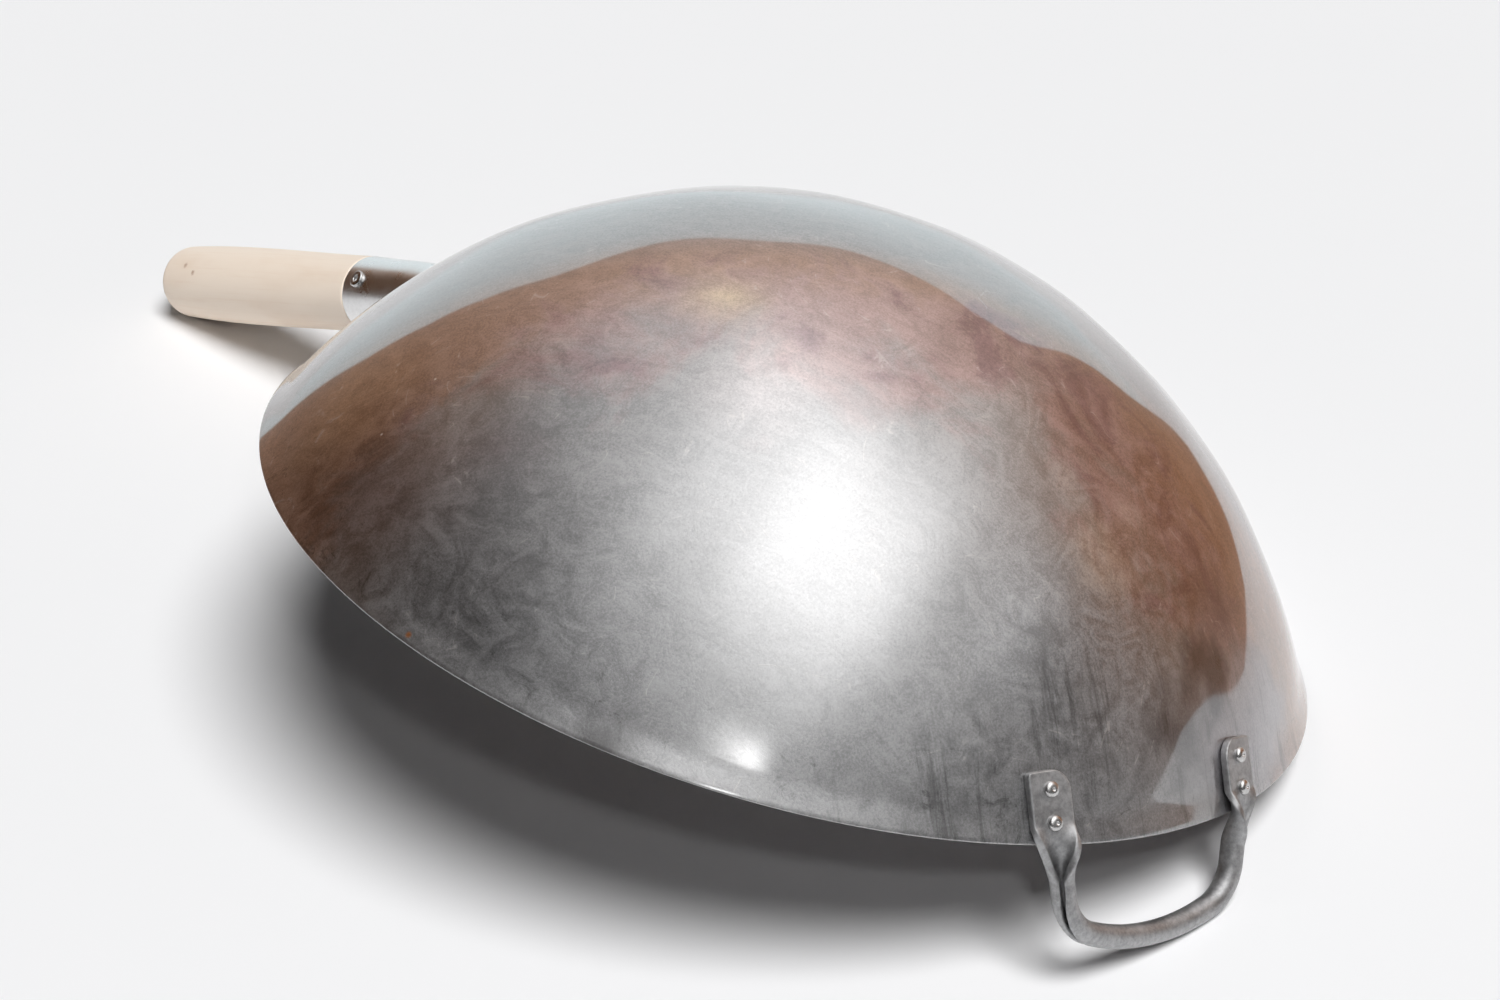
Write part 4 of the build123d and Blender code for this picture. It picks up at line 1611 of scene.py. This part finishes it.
    def make(self, upright: UprightFrame) -> bpy.types.Material:
        """Build the finish.

        Args:
            upright: Where the upright wok lies.

        Returns:
            The material.
        """
        nodes = Nodes.of_material("seasoned_steel")
        place = nodes.place(upright)
        smear = nodes.noise(place, self.smear)
        fine = nodes.noise(place, self.fine)
        brush = nodes.noise(nodes.stretch(place, self.brush_stretch, self.brush_turn), self.brush)
        colour = self.ground(nodes, place, nodes.noise(place, self.cloud))
        colour = self.marks(nodes, place, colour)
        grain = nodes.math("MULTIPLY", smear, self.smear_share)
        grain = nodes.math("MULTIPLY_ADD", brush, self.brush_share, grain)
        grain = nodes.math("MULTIPLY_ADD", fine, self.fine_share, grain)
        shade = nodes.grey(nodes.ramp(grain, self.grain_shade))
        colour = nodes.mix(1.0, colour, shade, "MULTIPLY")
        level = nodes.math("SUBTRACT", nodes.noise(place, self.crease), self.scratch_level)
        line = nodes.ramp(nodes.math("ABSOLUTE", level), self.scratch_width)
        scratch = nodes.math("MULTIPLY", line, nodes.ramp(smear, self.scratch_spread))
        colour = nodes.mix(nodes.math("MULTIPLY", scratch, self.scratch_share), colour, rgb(*self.pale))
        inputs = {
            "Base Color": colour,
            "Metallic": 1.0,
            "Roughness": nodes.ramp(smear, self.rough),
            "Coat Weight": 1.0,
            "Coat Roughness": self.film_rough,
            "Coat IOR": self.film_ior,
        }
        bumps = [
            (fine, *self.fine_bump),
            (smear, *self.smear_bump),
            (brush, *self.brush_bump),
            (scratch, *self.scratch_bump),
        ]
        return nodes.finish(inputs, bumps)


@dataclass(frozen=True)
class PlainSteel:
    """Bare satin steel with a fine mottling."""

    name: str
    colour: Triple
    rough: Pair
    mottle: Pair
    rough_span: Pair = (0.3, 0.7)
    mottle_span: Pair = (0.34, 0.66)
    grain: Noise = Noise(700.0, 4.0, 0.7)
    cloud: Noise = Noise(90.0, 3.0, 0.6)
    grain_share: float = 0.55
    cloud_share: float = 0.45
    bump: Pair = (0.10, 0.0002)

    def make(self, upright: UprightFrame) -> bpy.types.Material:
        """Build the finish.

        Args:
            upright: Where the upright wok lies.

        Returns:
            The material.
        """
        nodes = Nodes.of_material(self.name)
        place = nodes.place(upright)
        grain = nodes.noise(place, self.grain)
        cloud = nodes.noise(place, self.cloud)
        far = nodes.math("MULTIPLY", cloud, self.cloud_share)
        spots = nodes.math("ADD", nodes.math("MULTIPLY", grain, self.grain_share), far)
        shade = nodes.ramp(spots, Ramp(*self.mottle_span, *self.mottle))
        inputs = {
            "Base Color": nodes.mix(1.0, rgb(*self.colour), shade, "MULTIPLY"),
            "Metallic": 1.0,
            "Roughness": nodes.ramp(cloud, Ramp(*self.rough_span, *self.rough)),
        }
        return nodes.finish(inputs, [(grain, *self.bump)])


@dataclass(frozen=True)
class GripWood:
    """Bare pale wood, turned and sanded, with faint lengthwise grain and two small dark knots.

    Each knot has a distance past the mouth, an angle about the grip and a radius.
    """

    pale: Triple = (249, 233, 216)
    tan: Triple = (236, 212, 190)
    dark: Triple = (158, 112, 78)
    knots: tuple[Triple, ...] = ((0.117, 30.0, 0.0009), (0.109, 19.0, 0.0008))
    knot_share: float = 0.7
    knot_ragged: Noise = Noise(900.0, 4.0)
    knot_reach: float = 0.002
    fibre: Noise = Noise(1.0, 5.0, 0.65, 0.1)
    fibre_stretch: Triple = (520.0, 520.0, 14.0)
    fibre_spread: Ramp = Ramp(0.50, 0.75, 0.0, 0.35)
    blotch: Noise = Noise(1.0, 3.0, 0.5, 0.3)
    blotch_stretch: Triple = (55.0, 55.0, 16.0)
    blotch_spread: Ramp = Ramp(0.45, 0.75, 0.0, 0.6)
    rough: Ramp = Ramp(0.3, 0.7, 0.5, 0.62)
    gloss: float = 0.35
    bump: Pair = (0.10, 0.0002)

    def make(self, upright: UprightFrame, handle: LongHandle) -> bpy.types.Material:
        """Build the finish.

        Args:
            upright: Where the upright wok lies.
            handle: The handle whose axis the grain follows.

        Returns:
            The material.
        """
        nodes = Nodes.of_material("bare_wood")
        place = nodes.place(upright)
        turn = (0.0, QUARTER_TURN - handle.slope, 0.0)
        fibre = nodes.noise(nodes.stretch(place, self.fibre_stretch, turn), self.fibre)
        blotch = nodes.noise(nodes.stretch(place, self.blotch_stretch, turn), self.blotch)
        colour = nodes.mix(nodes.ramp(blotch, self.blotch_spread), rgb(*self.pale), rgb(*self.tan))
        colour = nodes.mix(nodes.ramp(fibre, self.fibre_spread), colour, rgb(*self.tan))
        for distance, swing, radius in self.knots:
            side = SIDEWAYS * cos(swing) - handle.up * sin(swing)
            spot = handle.mouth + handle.out * distance + side * handle.grip_middle[1]
            ragged = nodes.bent(place, self.knot_ragged, self.knot_reach)
            knot = nodes.near(ragged, tuple(spot.tolist()), radius, radius)
            colour = nodes.mix(nodes.math("MULTIPLY", knot, self.knot_share), colour, rgb(*self.dark))
        rough = nodes.ramp(fibre, self.rough)
        inputs = {"Base Color": colour, "Roughness": rough, "Specular IOR Level": self.gloss}
        return nodes.finish(inputs, [(fibre, *self.bump)])


@dataclass(frozen=True)
class Studio:
    """Pale paper on a wide pale floor, a white backdrop, one large soft light, and the camera.

    The paper's outline is in distances right of the wok's middle and behind it, and the backdrop's in
    distances right of it and above the floor. Each glow of the room, seen in polished faces alone, has an
    azimuth, an elevation, a strength and a focus.
    """

    camera_place: Triple = (0.8256, -0.5440, 0.5963)
    camera_aim: Triple = (0.1253, -0.0355, 0.0954)
    camera_roll: float = -1.67
    focal_length: float = 76.8
    sensor_width: float = 36.0
    near_limit: float = 0.01
    floor_reach: float = 6.0
    floor_sides: int = 96
    floor_drop: float = 0.0001
    floor_rough: float = 0.95
    floor_colour: Triple = (240, 240, 241)
    paper_outline: tuple[Pair, ...] = (
        (-0.74, -1.2), (1.5, -1.2), (1.5, -0.03), (0.46, 0.0), (0.39, 0.06), (0.39, 0.15), (0.42, 0.30),
        (0.82, 0.95), (-0.74, 0.95),
    )
    backdrop_distance: float = 0.95
    backdrop_outline: tuple[Pair, ...] = (
        (-0.74, 0.0), (-0.70, 0.30), (-0.62, 0.50), (-0.50, 0.61), (-0.38, 0.645), (0.74, 0.645),
        (0.84, 0.58), (0.86, 0.28), (0.82, 0.0),
    )
    backdrop_glow: float = 1.05
    backdrop_colour: Triple = (238, 249, 252)
    room_far: Triple = (164, 118, 84)
    room_near: Triple = (96, 95, 95)
    room_above: Triple = (120, 118, 118)
    room_depth: Ramp = Ramp(-0.25, 0.35)
    room_height: Ramp = Ramp(0.55, 0.85)
    room_left: Ramp = Ramp(0.45, 0.75, 1.0, 0.25)
    sky_colour: Triple = (244, 245, 247)
    sky_strength: float = 0.04
    glows: tuple[tuple[float, float, float, float], ...] = (
        (31.0, 69.0, 2.9, 13.0),
        (124.0, 62.0, 1.0, 7.0),
        (345.0, 57.0, 1.2, 13.0),
        (327.0, 39.0, 6.0, 420.0),
    )
    overhead_azimuth: float = 349.0
    overhead_elevation: float = 62.5
    overhead_spread: float = 29.0
    overhead_strength: float = 3.35
    front_place: Triple = (0.924, -0.524, 0.797)
    front_size: float = 0.07
    front_power: float = 1.0

    @property
    def view_azimuth(self) -> float:
        """Azimuth in which the camera looks."""
        line = np.array(self.camera_aim) - np.array(self.camera_place)
        return math.degrees(math.atan2(line[1], line[0]))

    def place(self, right: float, ahead: float, height: float) -> Triple:
        """A point of the studio from its distance right of and behind the wok's middle."""
        c, s = float(cos(self.view_azimuth)), float(sin(self.view_azimuth))
        return ahead * c + right * s, ahead * s - right * c, height

    def camera(self) -> None:
        """Aim the camera along the line to its aim point, then roll it about that line."""
        data = bpy.data.cameras.new("camera")
        data.lens, data.sensor_width, data.clip_start = self.focal_length, self.sensor_width, self.near_limit
        camera = linked("camera", data)
        line = Vector(self.camera_aim) - Vector(self.camera_place)
        roll = Matrix.Rotation(math.radians(self.camera_roll), 3, "Z")
        turn = line.to_track_quat("-Z", "Y").to_matrix() @ roll
        camera.matrix_world = Matrix.Translation(self.camera_place) @ turn.to_4x4()
        bpy.context.scene.camera = camera

    def panel(self, name: str, corners: list[Triple], material: bpy.types.Material) -> bpy.types.Object:
        """Make a flat stage piece.

        Args:
            name: The piece's name.
            corners: Its corners in order.
            material: Its material.

        Returns:
            The piece.
        """
        mesh = bpy.data.meshes.new(name)
        mesh.from_pydata(corners, [], [list(range(len(corners)))])
        mesh.materials.append(material)
        panel = linked(name, mesh)
        return panel

    def floor(self) -> None:
        """A wide pale disc, which polished faces don't see, and the paper on it, which they do."""
        nodes = Nodes.of_material("pale_paper")
        inputs = {
            "Base Color": rgb(*self.floor_colour),
            "Roughness": self.floor_rough,
            "Specular IOR Level": 0.0,
        }
        paper = nodes.finish(inputs, [])
        turn = np.linspace(0.0, FULL_TURN, self.floor_sides, endpoint=False)
        down = np.full_like(turn, -self.floor_drop)
        rim = np.stack([cos(turn) * self.floor_reach, sin(turn) * self.floor_reach, down], axis=1)
        wide = self.panel("floor", rim.tolist(), paper)
        wide.visible_glossy = False
        self.panel("paper", [self.place(right, ahead, 0.0) for right, ahead in self.paper_outline], paper)

    def backdrop(self) -> None:
        """An upright white card behind the wok, which only polished faces see."""
        nodes = Nodes.of_material("backdrop_glow")
        light = {"Color": rgb(*self.backdrop_colour), "Strength": self.backdrop_glow}
        glow = nodes.add("ShaderNodeEmission", light)
        output = nodes.add("ShaderNodeOutputMaterial")
        nodes.tree.links.new(glow.outputs[0], output.inputs[0])
        away = self.backdrop_distance
        corners = [self.place(right, away, height) for right, height in self.backdrop_outline]
        card = self.panel("backdrop", corners, nodes.owner)
        card.visible_camera = card.visible_diffuse = card.visible_shadow = card.visible_transmission = False

    def overhead(self) -> None:
        """A broad soft light from high above, which falls on everything alike."""
        data = bpy.data.lights.new("overhead_light", "SUN")
        data.energy, data.angle = self.overhead_strength, math.radians(self.overhead_spread)
        lamp = linked("overhead_light", data)
        way = Vector(bearing(self.overhead_azimuth, self.overhead_elevation))
        lamp.matrix_world = way.to_track_quat("Z", "Y").to_matrix().to_4x4()
        lamp.visible_glossy = False

    def front(self) -> None:
        """A small weak lamp above the camera."""
        data = bpy.data.lights.new("front_lamp", "AREA")
        data.shape, data.size, data.energy = "DISK", self.front_size, self.front_power
        lamp = linked("front_lamp", data)
        turn = (Vector(self.camera_aim) - Vector(self.front_place)).to_track_quat("-Z", "Y").to_matrix()
        lamp.matrix_world = Matrix.Translation(self.front_place) @ turn.to_4x4()
        lamp.visible_glossy = False

    def room(self) -> None:
        """Even pale light all round, which polished faces see as a room, warm behind and grey in front."""
        world = bpy.data.worlds.new("room")
        nodes = Nodes(world)
        way = nodes.add("ShaderNodeTexCoord").outputs["Generated"]
        c, s = float(cos(self.view_azimuth)), float(sin(self.view_azimuth))
        ahead = nodes.dot(way, (c, s, 0.0))
        left = nodes.dot(way, (-s, c, 0.0))
        room = nodes.mix(nodes.ramp(ahead, self.room_depth), rgb(*self.room_near), rgb(*self.room_far))
        room = nodes.mix(nodes.ramp(nodes.part(way, "Z"), self.room_height), room, rgb(*self.room_above))
        room = nodes.mix(1.0, room, nodes.grey(nodes.ramp(left, self.room_left)), "MULTIPLY")
        for azimuth, elevation, strength, focus in self.glows:
            facing = nodes.math("MAXIMUM", nodes.dot(way, bearing(azimuth, elevation)), 0.0)
            glow = nodes.math("POWER", facing, focus)
            room = nodes.mix(1.0, room, nodes.grey(nodes.math("MULTIPLY", glow, strength)), "ADD")
        sky = {"Color": rgb(*self.sky_colour), "Strength": self.sky_strength}
        pale = nodes.add("ShaderNodeBackground", sky)
        seen = nodes.add("ShaderNodeBackground", {"Color": room, "Strength": 1.0})
        polished = nodes.add("ShaderNodeLightPath").outputs["Is Glossy Ray"]
        mix = nodes.add("ShaderNodeMixShader", {0: polished, 1: pale.outputs[0], 2: seen.outputs[0]})
        nodes.tree.links.new(mix.outputs[0], nodes.add("ShaderNodeOutputWorld").inputs[0])
        bpy.context.scene.world = world

    def build(self) -> None:
        """Set up the floor, backdrop, room, light and camera."""
        bpy.context.scene.view_settings.view_transform = "Standard"
        self.camera()
        self.floor()
        self.backdrop()
        self.room()
        self.overhead()
        self.front()


def main() -> None:
    """Build the wok's pieces in order, dress them, and set up the studio."""
    logging.basicConfig(level=logging.INFO, format="%(message)s")
    upright = UprightFrame.from_record(frame["record"])
    Studio().build()
    wall = Wall()
    handle_finish = PlainSteel(
        name="handle_satin", colour=(182, 182, 183), rough=(0.44, 0.60), mottle=(0.66, 1.12)
    )
    socket_finish = PlainSteel(
        name="socket_satin", colour=(226, 226, 226), rough=(0.26, 0.34), mottle=(0.92, 1.04)
    )
    rivet_finish = PlainSteel(
        name="rivet_bright", colour=(206, 205, 204), rough=(0.18, 0.34), mottle=(0.80, 1.08)
    )
    long_handle = LongHandle(wall)
    helper = HelperHandle(wall)
    riveting = Riveting(helper, long_handle)
    rivet_steel = rivet_finish.make(upright)
    pieces = [
        (Bowl(wall).build(upright), BowlSteel(wall).make(upright)),
        (helper.build(upright), handle_finish.make(upright)),
        (long_handle.build_socket(upright), socket_finish.make(upright)),
        (long_handle.build_grip(upright), GripWood().make(upright, long_handle)),
        (long_handle.build_grip_rivet(upright), rivet_steel),
    ]
    rivets = riveting.pads(upright) + riveting.tang(upright)
    pieces += [(rivet, rivet_steel) for rivet in rivets]
    for piece, material in pieces:
        piece.data.materials.clear()
        piece.data.materials.append(material)


if __name__ == "__main__":
    main()
